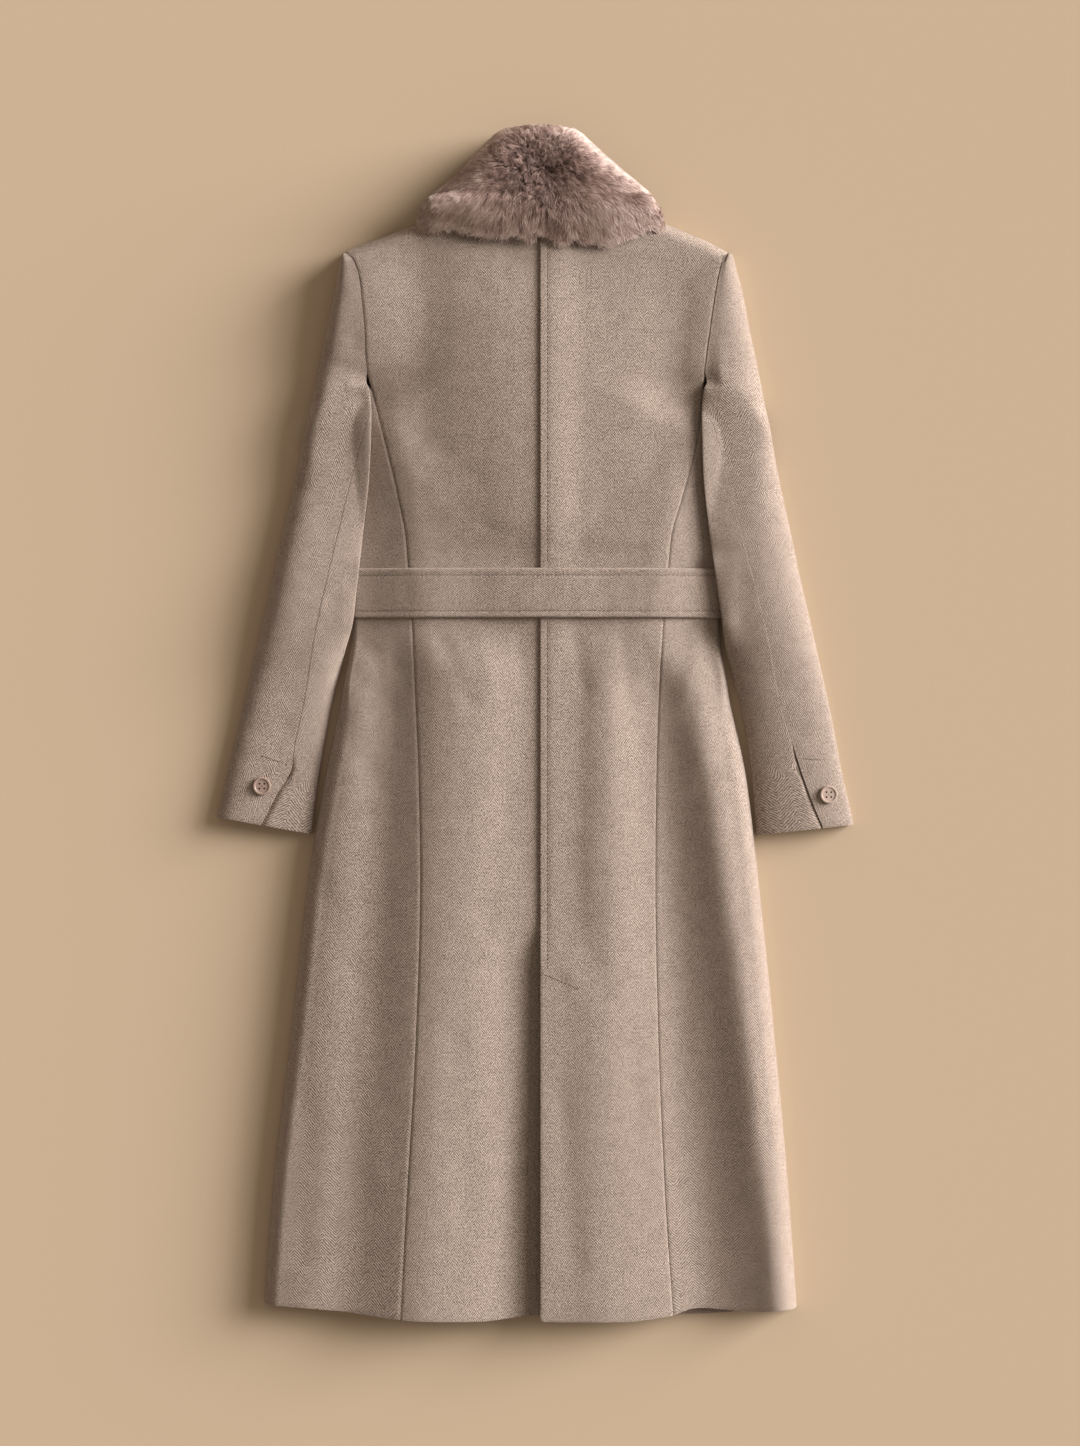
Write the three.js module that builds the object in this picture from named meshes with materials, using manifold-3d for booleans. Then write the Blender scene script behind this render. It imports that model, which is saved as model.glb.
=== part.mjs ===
// Long belted wool coat with a fur collar, laid face down on a flat surface with its back up.
// Millimetres. +X is the right of the back as seen from above, +Y points to the collar, +Z up.
// The fronts lie on the surface, the back and its two side panels arch over them, and each sleeve
// is a flattened tube beside the body, its inner fold resting on the side panel.
import * as THREE from "three";
import Module from "manifold-3d";
import { mergeVertices } from "three/addons/utils/BufferGeometryUtils.js";

// Driving dimensions
const CLOTH = 2.2; // coating cloth
const GAP = 0.3; // clearance at every seam
const CENTRE = 5; // x of the centre back seam
const SHOULDER_RIM = 16; // radius of the rounded shoulder edge
const SIDE_RIM = 16; // radius of the rounded side edge of the skirt
const WAIST_RIM = 7; // the same at the waist, under the sleeves
const BELT = { y: 136.5, width: 52, thickness: 4, clearance: 0.8, lapFrom: -30, lapTo: 40 };
const LAP = { width: 9, raise: 2.9, shoulder: 9 }; // right back over left at the centre seam
const VENT = { top: -262, underlap: 38, sink: 7, raise: 4, reach: 45 };
const FRONT_LAP = { leftEdge: 70, rightEdge: -55, step: [-77, -61] };
const NECK = { half: 120, open: 108, depth: 72, power: 0.8 };
const CUFF = { underlap: 14, drop: 4, left: -99, right: -107, leftVent: -46, rightVent: -40 };
const BUTTON = { radius: 9.5, thickness: 3.2, rim: 1.9, dish: 0.9, hole: 1.1, pitch: 3.6, seat: 0.5 };
const WING = 14; // thickness of the collar where it lies on the surface

// Plan of the body: side edge (armhole above y 308) and princess seam on each side.
const BODY = [
  { y: 540, leftSide: -200, leftSeam: -200, rightSeam: 202, rightSide: 202 },
  { y: 497, leftSide: -200, leftSeam: -200, rightSeam: 202, rightSide: 202 },
  { y: 484, leftSide: -190, leftSeam: -190, rightSeam: 196, rightSide: 196 },
  { y: 465, leftSide: -184, leftSeam: -184, rightSeam: 191.5, rightSide: 191.5 },
  { y: 438, leftSide: -181, leftSeam: -181, rightSeam: 187, rightSide: 187 },
  { y: 410, leftSide: -178.5, leftSeam: -178.5, rightSeam: 183, rightSide: 183 },
  { y: 380, leftSide: -177.5, leftSeam: -177.5, rightSeam: 179, rightSide: 179 },
  { y: 366, leftSide: -176, leftSeam: -176, rightSeam: 177.5, rightSide: 177.5 },
  { y: 351, leftSide: -187.5, leftSeam: -172.5, rightSeam: 176, rightSide: 190 },
  { y: 336, leftSide: -200, leftSeam: -168, rightSeam: 174.5, rightSide: 204 },
  { y: 308, leftSide: -218, leftSeam: -161, rightSeam: 172, rightSide: 227 },
  { y: 238, leftSide: -206, leftSeam: -144, rightSeam: 154.5, rightSide: 213.5 },
  { y: 195, leftSide: -199, leftSeam: -136, rightSeam: 142.5, rightSide: 205 },
  { y: 164, leftSide: -195, leftSeam: -133.5, rightSeam: 139.5, rightSide: 199.5 },
  { y: 108, leftSide: -192.5, leftSeam: -129.5, rightSeam: 134.5, rightSide: 194 },
  { y: 35, leftSide: -203.5, leftSeam: -126, rightSeam: 130, rightSide: 203 },
  { y: -58, leftSide: -222, leftSeam: -122, rightSeam: 127.3, rightSide: 222.5 },
  { y: -165, leftSide: -239.5, leftSeam: -120.3, rightSeam: 126.2, rightSide: 235 },
  { y: -320, leftSide: -257, leftSeam: -124.5, rightSeam: 129, rightSide: 251 },
  { y: -490, leftSide: -277, leftSeam: -134, rightSeam: 136, rightSide: 266.5 },
  { y: -640, leftSide: -288, leftSeam: -142.5, rightSeam: 146, rightSide: 277 },
];

// Height of the back over the surface at its centre and beside its edges, and how far in from
// each edge the centre height is reached.
const RISE = [
  { y: 540, centre: 31, left: 31, right: 28, leftBlend: 70, rightBlend: 90 },
  { y: 438, centre: 36, left: 38, right: 30, leftBlend: 90, rightBlend: 165 },
  { y: 380, centre: 36, left: 33, right: 29, leftBlend: 90, rightBlend: 165 },
  { y: 336, centre: 35, left: 18, right: 19, leftBlend: 80, rightBlend: 90 },
  { y: 276, centre: 33, left: 13, right: 14, leftBlend: 85, rightBlend: 85 },
  { y: 195, centre: 28, left: 13, right: 13, leftBlend: 85, rightBlend: 80 },
  { y: 164, centre: 27, left: 13, right: 13, leftBlend: 85, rightBlend: 80 },
  { y: 108, centre: 27, left: 13, right: 13, leftBlend: 85, rightBlend: 80 },
  { y: 35, centre: 29, left: 20, right: 18, leftBlend: 100, rightBlend: 60 },
  { y: -58, centre: 31, left: 25, right: 24, leftBlend: 115, rightBlend: 50 },
  { y: -320, centre: 31, left: 26, right: 27, leftBlend: 125, rightBlend: 40 },
  { y: -640, centre: 28, left: 24, right: 25, leftBlend: 125, rightBlend: 40 },
];

// Long soft folds of the back: a ridge (or a trough, where high is negative) along a line that
// runs from (x0, y0) to (x1, y1), with its height and half width at both ends.
const FOLDS = [
  { x0: -58, y0: 470, x1: -50, y1: 330, high0: 2, high1: 1, wide0: 44, wide1: 50 },
  { x0: -20, y0: 420, x1: -12, y1: 190, high0: 5, high1: 8, wide0: 70, wide1: 66 },
  { x0: -122, y0: 480, x1: -122, y1: 330, high0: -3, high1: -3, wide0: 26, wide1: 28 },
  { x0: 146, y0: 430, x1: 138, y1: 300, high0: -2.5, high1: -4, wide0: 30, wide1: 30 },
  { x0: -92, y0: 80, x1: -124, y1: -640, high0: 7, high1: 11, wide0: 38, wide1: 48 },
  { x0: -150, y0: 60, x1: -198, y1: -640, high0: -4, high1: -2, wide0: 24, wide1: 30 },
  { x0: -52, y0: 60, x1: -66, y1: -640, high0: 6, high1: 4, wide0: 34, wide1: 40 },
  { x0: 74, y0: 80, x1: 78, y1: -640, high0: 4, high1: 5, wide0: 28, wide1: 34 },
  { x0: 128, y0: 20, x1: 190, y1: -640, high0: -10, high1: -14, wide0: 34, wide1: 48 },
  { x0: 166, y0: 60, x1: 266, y1: -640, high0: 3, high1: 6, wide0: 20, wide1: 24 },
  { x0: -185, y0: 50, x1: -240, y1: -640, high0: 2, high1: 2, wide0: 22, wide1: 28 },
];
const FOLD_FADE = 70;

// Edge of the shoulders and the back neck.
const SHOULDER = [
  { x: -210, y: 492 },
  { x: -200, y: 497 },
  { x: -174, y: 507 },
  { x: -142, y: 519.5 },
  { x: -123, y: 526 },
  { x: -90, y: 530 },
  { x: 5, y: 527 },
  { x: 105, y: 530 },
  { x: 135, y: 526 },
  { x: 152, y: 519.5 },
  { x: 182, y: 507 },
  { x: 202, y: 496.5 },
  { x: 212, y: 492 },
];

const HEM = [
  { x: -290, back: -610, front: -608 },
  { x: -205, back: -617, front: -614 },
  { x: -141, back: -625, front: -620 },
  { x: -60, back: -627, front: -622 },
  { x: 3, back: -622, front: -622 },
  { x: 7, back: -627, front: -622 },
  { x: 91, back: -627.5, front: -622 },
  { x: 139, back: -623, front: -623 },
  { x: 170, back: -615, front: -623 },
  { x: 220, back: -618, front: -620 },
  { x: 280, back: -615, front: -613 },
];

// Each sleeve: how far its cuff slants, how much its top leans down to the inner fold, how flat
// its top and its head are, and its plan: outer fold, inner fold, and the seam of its top piece. The
// last three rows of that edge are the slanting cuff vent.
const SLEEVES = {
  left: {
    side: -1,
    slant: 18,
    lean: 5,
    dome: 4,
    head: 7,
    folds: [
      { y: 494.5, outer: -202.5, inner: -196 },
      { y: 484, outer: -206.5, inner: -190.6 },
      { y: 454.5, outer: -211.5, inner: -182.7 },
      { y: 423, outer: -218, inner: -179.6 },
      { y: 391.5, outer: -225, inner: -178 },
      { y: 360, outer: -231.5, inner: -175.4 },
      { y: 326.5, outer: -239, inner: -171.7 },
      { y: 265.5, outer: -251.5, inner: -173.8 },
      { y: 202.5, outer: -266, inner: -180.6 },
      { y: 139.5, outer: -280, inner: -187.6 },
      { y: 108, outer: -287, inner: -191 },
      { y: 76.5, outer: -294.5, inner: -200 },
      { y: 13.5, outer: -309, inner: -216 },
      { y: -54.5, outer: -325, inner: -227.5 },
      { y: -99, outer: -335.5, inner: -233 },
      { y: -125, outer: -341, inner: -235.5 },
    ],
    seam: [
      { y: 380, x: -178 },
      { y: 314.5, x: -176.3 },
      { y: 290, x: -183.5 },
      { y: 256.5, x: -193 },
      { y: 177, x: -212.5 },
      { y: 92.5, x: -231.7 },
      { y: 23, x: -243 },
      { y: -30, x: -254.2 },
      { y: -46, x: -255.5 },
      { y: -72, x: -269.7 },
      { y: -111, x: -290 },
      { y: -130, x: -300 },
    ],
  },
  right: {
    side: 1,
    slant: 11,
    lean: 0,
    dome: 2.2,
    head: 3,
    folds: [
      { y: 494.5, outer: 207, inner: 201 },
      { y: 484, outer: 210, inner: 195.8 },
      { y: 454.5, outer: 218, inner: 189.5 },
      { y: 423, outer: 224, inner: 185.3 },
      { y: 391.5, outer: 230.5, inner: 180.6 },
      { y: 360, outer: 237, inner: 177.9 },
      { y: 326.5, outer: 243.5, inner: 174.1 },
      { y: 265.5, outer: 255, inner: 175.5 },
      { y: 202.5, outer: 268.5, inner: 182 },
      { y: 139.5, outer: 282, inner: 191 },
      { y: 108, outer: 289.5, inner: 195.5 },
      { y: 76.5, outer: 296.5, inner: 200.5 },
      { y: 13.5, outer: 310.5, inner: 217 },
      { y: -54.5, outer: 323.5, inner: 228 },
      { y: -99, outer: 333.5, inner: 231.5 },
      { y: -130, outer: 339, inner: 234 },
    ],
    seam: [
      { y: 380, x: 179.5 },
      { y: 344, x: 178 },
      { y: 310, x: 187 },
      { y: 269, x: 198.3 },
      { y: 173, x: 223 },
      { y: 87, x: 245 },
      { y: 18, x: 258 },
      { y: -25, x: 271 },
      { y: -40, x: 275.5 },
      { y: -86, x: 292 },
      { y: -112, x: 303 },
      { y: -135, x: 312 },
    ],
  },
};

// Along each sleeve: height of its top over the surface.
const SLEEVE_RISE = [
  { y: 500, top: 30 },
  { y: 378, top: 31 },
  { y: 340, top: 33 },
  { y: 290, top: 30 },
  { y: 238, top: 28 },
  { y: 190, top: 29 },
  { y: 140, top: 31 },
  { y: 96, top: 29 },
  { y: 60, top: 24 },
  { y: 25, top: 21 },
  { y: -10, top: 19 },
  { y: -130, top: 18 },
];
const SLEEVE = { widest: 6, rim: 6, ramp: 30, clear: 8, thin: 3.4, frontSeam: 0.58 };

// Outline of the fur collar where it shows: upper edge and the ragged lower edge.
const COLLAR = [
  { x: -124, top: 536, bottom: 526 },
  { x: -114, top: 550, bottom: 528 },
  { x: -86, top: 572, bottom: 527 },
  { x: -60, top: 599, bottom: 519 },
  { x: -30, top: 623.5, bottom: 517 },
  { x: 4, top: 627.5, bottom: 517 },
  { x: 36, top: 624, bottom: 513 },
  { x: 73, top: 595, bottom: 512 },
  { x: 98, top: 574, bottom: 519 },
  { x: 122, top: 554, bottom: 528 },
  { x: 134, top: 534, bottom: 526 },
];
const FUR = { crown: 62, edge: 24, fringe: 9, wingFloor: 14.3, locks: 13, lockDepth: 2.5 };

// Smooth curve through the rows of a table, with no overshoot (monotone cubic).
function curve(rows, key, along = "y") {
  const points = rows.map((r) => [r[along], r[key]]).sort((a, b) => a[0] - b[0]);
  const last = points.length - 1;
  const slopes = [];
  for (let k = 0; k < last; k++) {
    slopes.push((points[k + 1][1] - points[k][1]) / (points[k + 1][0] - points[k][0]));
  }
  const tangents = points.map((_, k) => {
    if (k === 0) return slopes[0];
    if (k === last) return slopes[last - 1];
    const [a, b] = [slopes[k - 1], slopes[k]];
    return a * b <= 0 ? 0 : (2 * a * b) / (a + b);
  });
  return (at) => {
    const t = Math.min(Math.max(at, points[0][0]), points[last][0]);
    let k = 0;
    while (k < last - 1 && t > points[k + 1][0]) k++;
    const span = points[k + 1][0] - points[k][0];
    const s = (t - points[k][0]) / span;
    const [s2, s3] = [s * s, s * s * s];
    return (
      points[k][1] * (2 * s3 - 3 * s2 + 1) +
      tangents[k] * span * (s3 - 2 * s2 + s) +
      points[k + 1][1] * (3 * s2 - 2 * s3) +
      tangents[k + 1] * span * (s3 - s2)
    );
  };
}

const clamp = (t) => Math.min(Math.max(t, 0), 1);
const mix = (a, b, t) => a + (b - a) * t;
const smooth = (t) => clamp(t) ** 2 * (3 - 2 * clamp(t));
// Quarter-round edge: 0 at the edge, 1 at one radius in.
const rim = (distance, radius) => Math.sqrt(1 - (1 - clamp(distance / radius)) ** 2);
const spread = (from, to, count) =>
  Array.from({ length: count }, (_, k) => mix(from, to, k / (count - 1)));

const leftSide = curve(BODY, "leftSide");
const leftSeam = curve(BODY, "leftSeam");
const rightSeam = curve(BODY, "rightSeam");
const rightSide = curve(BODY, "rightSide");
const rise = Object.fromEntries(
  ["centre", "left", "right", "leftBlend", "rightBlend"].map((key) => [key, curve(RISE, key)]),
);
const shoulder = curve(SHOULDER, "y", "x");
const backHem = curve(HEM, "back", "x");
const frontHem = curve(HEM, "front", "x");
const collarTop = curve(COLLAR, "top", "x");
const collarBottom = curve(COLLAR, "bottom", "x");

function neckline(x) {
  const inward = 1 - Math.abs(x - CENTRE) / NECK.half;
  return inward <= 0 ? shoulder(x) : mix(shoulder(x), 528 - NECK.depth * inward ** NECK.power,
    smooth(inward * 6));
}

// The belt runs under the fronts, which rise over it and over its lapped ends.
function frontLift(x, y) {
  const step = BELT.thickness + BELT.clearance;
  const along = smooth((BELT.width / 2 + 34 - Math.abs(y - BELT.y)) / 30);
  const lap = smooth((x - BELT.lapFrom + 24) / 16) * smooth((BELT.lapTo + 30 - x) / 16);
  return along * step * (1 + lap);
}

function foldHeight(x, y) {
  let sum = 0;
  for (const f of FOLDS) {
    const t = (f.y0 - y) / (f.y0 - f.y1);
    const s = clamp(t);
    const fade = smooth((f.y0 + FOLD_FADE - y) / FOLD_FADE) * smooth((y - f.y1 + FOLD_FADE) / FOLD_FADE);
    const off = (x - mix(f.x0, f.x1, s)) / mix(f.wide0, f.wide1, s);
    sum += mix(f.high0, f.high1, s) * fade * Math.exp(-off * off);
  }
  // The belt presses the folds flat.
  return sum * smooth((Math.abs(y - BELT.y) - BELT.width / 2) / 60);
}

// Height of the back's outer face over the surface.
function backHeight(x, y) {
  const left = x - leftSide(y);
  const right = rightSide(y) - x;
  const across =
    x < CENTRE
      ? smooth(left / rise.leftBlend(y))
      : smooth(right / rise.rightBlend(y));
  const edge = Math.min(left, right);
  const fade = smooth(edge / 30);
  const side = x < CENTRE ? rise.left(y) : rise.right(y);
  const flat = mix(side, rise.centre(y), across) + foldHeight(x, y) * fade;
  const foot = CLOTH + 0.5 + frontLift(x, y);
  const open = smooth((325 - y) / 25); // above it the edge is the armhole, which has no rim
  const radius = mix(SIDE_RIM, WAIST_RIM, smooth((y + 10) / 60));
  const sideRim = mix(1, rim(edge, radius), open);
  const neck = smooth((NECK.open + 14 - Math.abs(x - CENTRE)) / 14);
  const topRim = mix(rim(shoulder(x) - y, SHOULDER_RIM), 1, neck);
  return foot + (flat - foot) * sideRim * topRim;
}

// The left back runs on under the right one: a narrow lap at the seam, and the vent's underlap.
const ventOpen = (y) => smooth((VENT.top + 12 - y) / 12);
const lapWidth = (y) => mix(LAP.width, VENT.underlap, ventOpen(y));
// Below the vent's top the left back sinks under the right back, whose free edge stands up.
const ventShare = (y) => smooth((VENT.top + 60 - y) / 60) * mix(0.75, 1, smooth((VENT.top - y) / 300));
const ventDip = (x, y) => ventShare(y) * Math.exp(-(((x - CENTRE) / VENT.reach) ** 2));
const leftBackHeight = (x, y) => backHeight(x, y) - VENT.sink * ventDip(x, y);
function rightBackHeight(x, y) {
  const inside = lapWidth(y) + 2 + LAP.shoulder - (x - CENTRE);
  return backHeight(x, y) + LAP.raise * smooth(inside / LAP.shoulder) + VENT.raise * ventDip(x, y);
}

// A closed solid between two grids of points, outer and inner.
function shell(outer, inner) {
  const [nu, nv] = [outer.length, outer[0].length];
  const positions = [];
  for (const grid of [outer, inner]) {
    for (const column of grid) for (const p of column) positions.push(p.x, p.y, p.z);
  }
  const at = (i, j, isInner) => (isInner ? nu * nv : 0) + i * nv + j;
  const index = [];
  const quad = (a, b, c, d) => index.push(a, b, c, a, c, d);
  for (let i = 0; i < nu - 1; i++) {
    for (let j = 0; j < nv - 1; j++) {
      quad(at(i, j), at(i, j + 1), at(i + 1, j + 1), at(i + 1, j));
      quad(at(i, j, 1), at(i + 1, j, 1), at(i + 1, j + 1, 1), at(i, j + 1, 1));
    }
    quad(at(i, 0), at(i + 1, 0), at(i + 1, 0, 1), at(i, 0, 1));
    quad(at(i, nv - 1), at(i, nv - 1, 1), at(i + 1, nv - 1, 1), at(i + 1, nv - 1));
  }
  for (let j = 0; j < nv - 1; j++) {
    quad(at(0, j), at(0, j, 1), at(0, j + 1, 1), at(0, j + 1));
    quad(at(nu - 1, j), at(nu - 1, j + 1), at(nu - 1, j + 1, 1), at(nu - 1, j, 1));
  }
  const geometry = new THREE.BufferGeometry();
  geometry.setAttribute("position", new THREE.Float32BufferAttribute(positions, 3));
  geometry.setIndex(index);
  geometry.computeVertexNormals();
  return geometry;
}

// A wall of even thickness whose outer face is the grid. The first and last columns lie about
// 1 mm past the edges and aren't built: they only set the slope there, so that two pieces that
// meet at a seam have matching edges. The columns are turned round where facing is -1.
function wall(columns, thickness, facing = 1) {
  const grid = facing > 0 ? columns : [...columns].reverse();
  const lastV = grid[0].length - 1;
  const outer = grid.slice(1, -1);
  const lastU = outer.length - 1;
  const inner = outer.map((column, i) =>
    column.map((p, j) => {
      const along = column[Math.min(j + 1, lastV)].clone().sub(column[Math.max(j - 1, 0)]);
      const before = i === lastU ? p : grid[i][j];
      const after = i === 0 ? p : grid[i + 2][j];
      const across = after.clone().sub(before);
      return p.clone().addScaledVector(along.cross(across).normalize(), -thickness);
    }),
  );
  return shell(outer, inner);
}

const coat = new THREE.Group();

const WOOL = { color: 0x9d8b7d, roughness: 0.95, metalness: 0 };
const finishes = {
  wool: WOOL,
  fur: { color: 0xa3877a, roughness: 1, metalness: 0 },
  button: { color: 0xa48d80, roughness: 0.45, metalness: 0 },
};

function add(name, geometry, finish = "wool") {
  const mesh = new THREE.Mesh(geometry, new THREE.MeshStandardMaterial(finishes[finish]));
  mesh.name = name;
  coat.add(mesh);
  return mesh;
}

// Rows shared by the pieces that meet at a seam, from the armhole down to above the hem.
const BELT_TOP = BELT.y + BELT.width / 2;
const BELT_BOTTOM = BELT.y - BELT.width / 2;
const ARMHOLE_ROWS = spread(438, 366, 4);
const UNDERARM_ROWS = [351, 336, 322, 307];
const LOWER_ROWS = [
  ...spread(307, BELT_TOP, 5).slice(1),
  BELT.y,
  BELT_BOTTOM,
  ...spread(BELT_BOTTOM - 36, VENT.top + 27, 7),
  ...spread(VENT.top, -565, 7),
];
const RIM_STEPS = [0, 0.05, 0.3, 0.65, 1];

// Rows of a panel that starts at the shoulder: close ones round its rim come first.
function panelRows(top, bottom) {
  const rounded = RIM_STEPS.map((s) => top - SHOULDER_RIM * s);
  const chest = spread(top - SHOULDER_RIM, ARMHOLE_ROWS[0], 4).slice(1, -1);
  return [...rounded, ...chest, ...ARMHOLE_ROWS, ...UNDERARM_ROWS, ...LOWER_ROWS, bottom];
}

// A centre back from the x of each of its columns.
function backGrid(columns, heightAt, hemAt) {
  return columns.map((xAt) =>
    panelRows(shoulder(xAt(510)), hemAt(xAt(-612))).map(
      (y) => new THREE.Vector3(xAt(y), y, heightAt(xAt(y), y)),
    ),
  );
}

const LEFT_BACK = spread(0, 1, 9).map(
  (share) => (y) => mix(leftSeam(y) + GAP / 2, CENTRE - GAP / 2, share),
);
LEFT_BACK.unshift((y) => LEFT_BACK[1](y) - 1);
const LEFT_LAP = [0.5, 1].map((share) => (y) => CENTRE + lapWidth(y) * share);
LEFT_LAP.push((y) => LEFT_LAP[1](y) + 1);
const RIGHT_LAP = [GAP / 2 - 1, GAP / 2].map((off) => () => CENTRE + off);
RIGHT_LAP.push((y) => CENTRE + lapWidth(y) * 0.55);
RIGHT_LAP.push((y) => CENTRE + lapWidth(y) + 2);
RIGHT_LAP.push((y) => CENTRE + lapWidth(y) + 2 + LAP.shoulder);
const RIGHT_BACK = spread(0, 1, 7).slice(1).map(
  (share) => (y) => mix(CENTRE + lapWidth(y) + 2 + LAP.shoulder, rightSeam(y) - GAP / 2, share),
);
RIGHT_BACK.push((y) => RIGHT_BACK[5](y) + 1);

function addBacks() {
  const leftHem = (x) => (x > CENTRE ? backHem(CENTRE - 2) : backHem(x));
  add("back_left", wall(backGrid([...LEFT_BACK, ...LEFT_LAP], leftBackHeight, leftHem), CLOTH));
  const right = [...RIGHT_LAP, ...RIGHT_BACK];
  add("back_right", wall(backGrid(right, rightBackHeight, backHem), CLOTH));
}

// Columns of a side back, from its side seam at the surface, round the edge and in to the
// princess seam.
const sideRadius = (y) => mix(SIDE_RIM, WAIST_RIM, smooth((y + 10) / 60));
function sideColumns(sideAt, seamAt, facing) {
  const place = (y, step) => {
    const width = Math.abs(seamAt(y) - sideAt(y)) - GAP / 2;
    const rounded = Math.min(sideRadius(y), width * 0.5);
    const inward = step <= 1 ? rounded * step : mix(rounded, width, step - 1);
    return sideAt(y) + facing * inward;
  };
  const columns = [0, 0.04, 0.25, 0.6, 1, 1.33, 1.66, 2].map((step) => (y) => place(y, step));
  return [...columns, (y) => place(y, 2) + facing];
}
const LEFT_SIDE = sideColumns(leftSide, leftSeam, 1);
const RIGHT_SIDE = sideColumns(rightSide, rightSeam, -1);

function addSide(name, columns, facing) {
  const rows = (xAt) => [...UNDERARM_ROWS, ...LOWER_ROWS, backHem(xAt(-612))];
  const grid = columns.map((xAt) =>
    rows(xAt).map((y) => new THREE.Vector3(xAt(y), y, backHeight(xAt(y), y))),
  );
  const below = grid[0].map((p) => {
    const closed = smooth((325 - p.y) / 25);
    return new THREE.Vector3(p.x - facing * (1 - closed), p.y, p.z - closed);
  });
  add(name, wall([below, ...grid], CLOTH, facing));
}

// A front, flat on the surface from its side seam to its lapped front edge. The columns near the
// centre are shared, because the belt and the other front lie under or over it there.
function addFront(name, sideAt, centreColumns, heightAt, facing) {
  const from = centreColumns[0];
  const near = [0, 0.25, 0.5, 0.75].map((share) => (y) => mix(sideAt(y), from, share));
  const xs = [(y) => sideAt(y) - facing, ...near, ...centreColumns.map((x) => () => x)];
  xs.push(() => centreColumns[centreColumns.length - 1] + facing);
  const grid = xs.map((xAt) => {
    const top = neckline(xAt(505));
    const rows = [
      ...RIM_STEPS.slice(1).map((s) => top - SHOULDER_RIM * s),
      ...spread(top - SHOULDER_RIM, ARMHOLE_ROWS[0], 4).slice(1, -1),
      ...ARMHOLE_ROWS,
      ...UNDERARM_ROWS,
      235,
      BELT_TOP + 36,
      BELT_TOP,
      BELT.y,
      BELT_BOTTOM,
      BELT_BOTTOM - 36,
      -28,
      -180,
      -400,
      frontHem(xAt(-612)),
    ];
    return rows.map((y) => new THREE.Vector3(xAt(y), y, heightAt(xAt(y), y) + CLOTH));
  });
  add(name, wall(grid, CLOTH, facing));
}

function addFronts() {
  const [low, high] = FRONT_LAP.step;
  const over = (x) => (CLOTH + 0.5) * smooth((x - low) / (high - low));
  const middle = [FRONT_LAP.rightEdge, -38, CENTRE, 40, 54, FRONT_LAP.leftEdge];
  const height = (x, y) => frontLift(x, y) + over(x);
  addFront("front_left", leftSide, [-90, low, high, ...middle], height, 1);
  addFront("front_right", rightSide, [88, ...[...middle].reverse()], frontLift, -1);
}

// One sleeve as a flattened tube. A point on it is given by its station y, its share s of the way
// from the outer to the inner fold, and whether it is on the top or the underside.
function sleeveForm({ side, slant: most, lean, dome: flat, head: flatHead, folds, seam }) {
  const outer = curve(folds, "outer");
  const ownInner = curve(folds, "inner");
  const seamX = curve(seam, "x");
  const armhole = side < 0 ? leftSide : rightSide;
  const top = curve(SLEEVE_RISE, "top");
  const inner = (y) => mix(armhole(y) + side * GAP, ownInner(y), smooth((366 - y) / 15));
  const slant = (y) => most * smooth((326 - y) / 150);
  const innerAt = (y) => inner(y - slant(y));
  const width = (y) => Math.abs(innerAt(y) - outer(y));
  const plan = (y, s) => ({ x: mix(outer(y), innerAt(y), s), y: y - slant(y) * s });
  // The sleeve is lifted by the body, and by the belt on it, wherever it lies over them.
  const carried = (x, y) => {
    let high = 0;
    for (const dx of [-8, -4, 0, 4, 8]) {
      for (const dy of [-8, -4, 0, 4, 8]) {
        const edge = armhole(y + dy) - side * sideRadius(y + dy);
        const px = side < 0 ? Math.max(x + dx, edge) : Math.min(x + dx, edge);
        high = Math.max(high, backHeight(px, y + dy));
      }
    }
    const belt = BELT.thickness + BELT.clearance + 0.6;
    return high + 0.9 + belt * smooth((BELT.width / 2 + 20 - Math.abs(y - BELT.y)) / 14);
  };
  const lift = (x, y) => {
    const past = side * (armhole(y) + side * SLEEVE.clear - x);
    const gate = smooth((374 - y) / 26) * smooth((y - 62) / 36);
    return gate <= 0 ? 0 : gate * carried(x, y) * smooth((past + SLEEVE.ramp) / SLEEVE.ramp);
  };
  const point = (y, share, isTop) => {
    const s = clamp(share);
    const p = plan(y, share);
    const base = lift(p.x, p.y);
    if (!isTop) {
      const fromEdge = (y < 360 ? Math.min(s, 1 - s) : s) * width(y);
      return new THREE.Vector3(p.x, p.y, base + SLEEVE.widest * (1 - rim(fromEdge, SLEEVE.rim)));
    }
    const closed = smooth((366 - y) / 30);
    const dome = Math.sqrt(1 - Math.abs(2 * s - 1) ** flat);
    const head = Math.sqrt(1 - (1 - s) ** flatHead);
    const atSeam = backHeight(armhole(p.y), p.y);
    const over = (height) => Math.max(height - SLEEVE.widest - base, SLEEVE.thin);
    const closedTop = SLEEVE.widest + over(top(y) + lean * (0.5 - s)) * dome;
    const openTop = SLEEVE.widest + over(atSeam) * head;
    return new THREE.Vector3(p.x, p.y, base + mix(openTop, closedTop, closed));
  };
  // Share at which a line given by its x over y crosses the station.
  const shareOf = (xOf, y) => {
    let s = 0.5;
    for (let k = 0; k < 16; k++) {
      const p = plan(y, s);
      s = clamp(s + ((xOf(p.y) - p.x) / (innerAt(y) - outer(y))) * 0.8);
    }
    return s;
  };
  const seamShare = (y) => (y >= 366 ? 1 : Math.min(shareOf(seamX, y), 1 - 2 / width(y)));
  const frontSeam = (y) => {
    const own = mix(1, SLEEVE.frontSeam, smooth((380 - y) / 50));
    const atArmhole = (armhole(y) + side * GAP - outer(y)) / (innerAt(y) - outer(y));
    return y > 330 ? Math.min(own, atArmhole) : own;
  };
  return { side, point, width, shareOf, seamX, seamShare, frontSeam };
}

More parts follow.
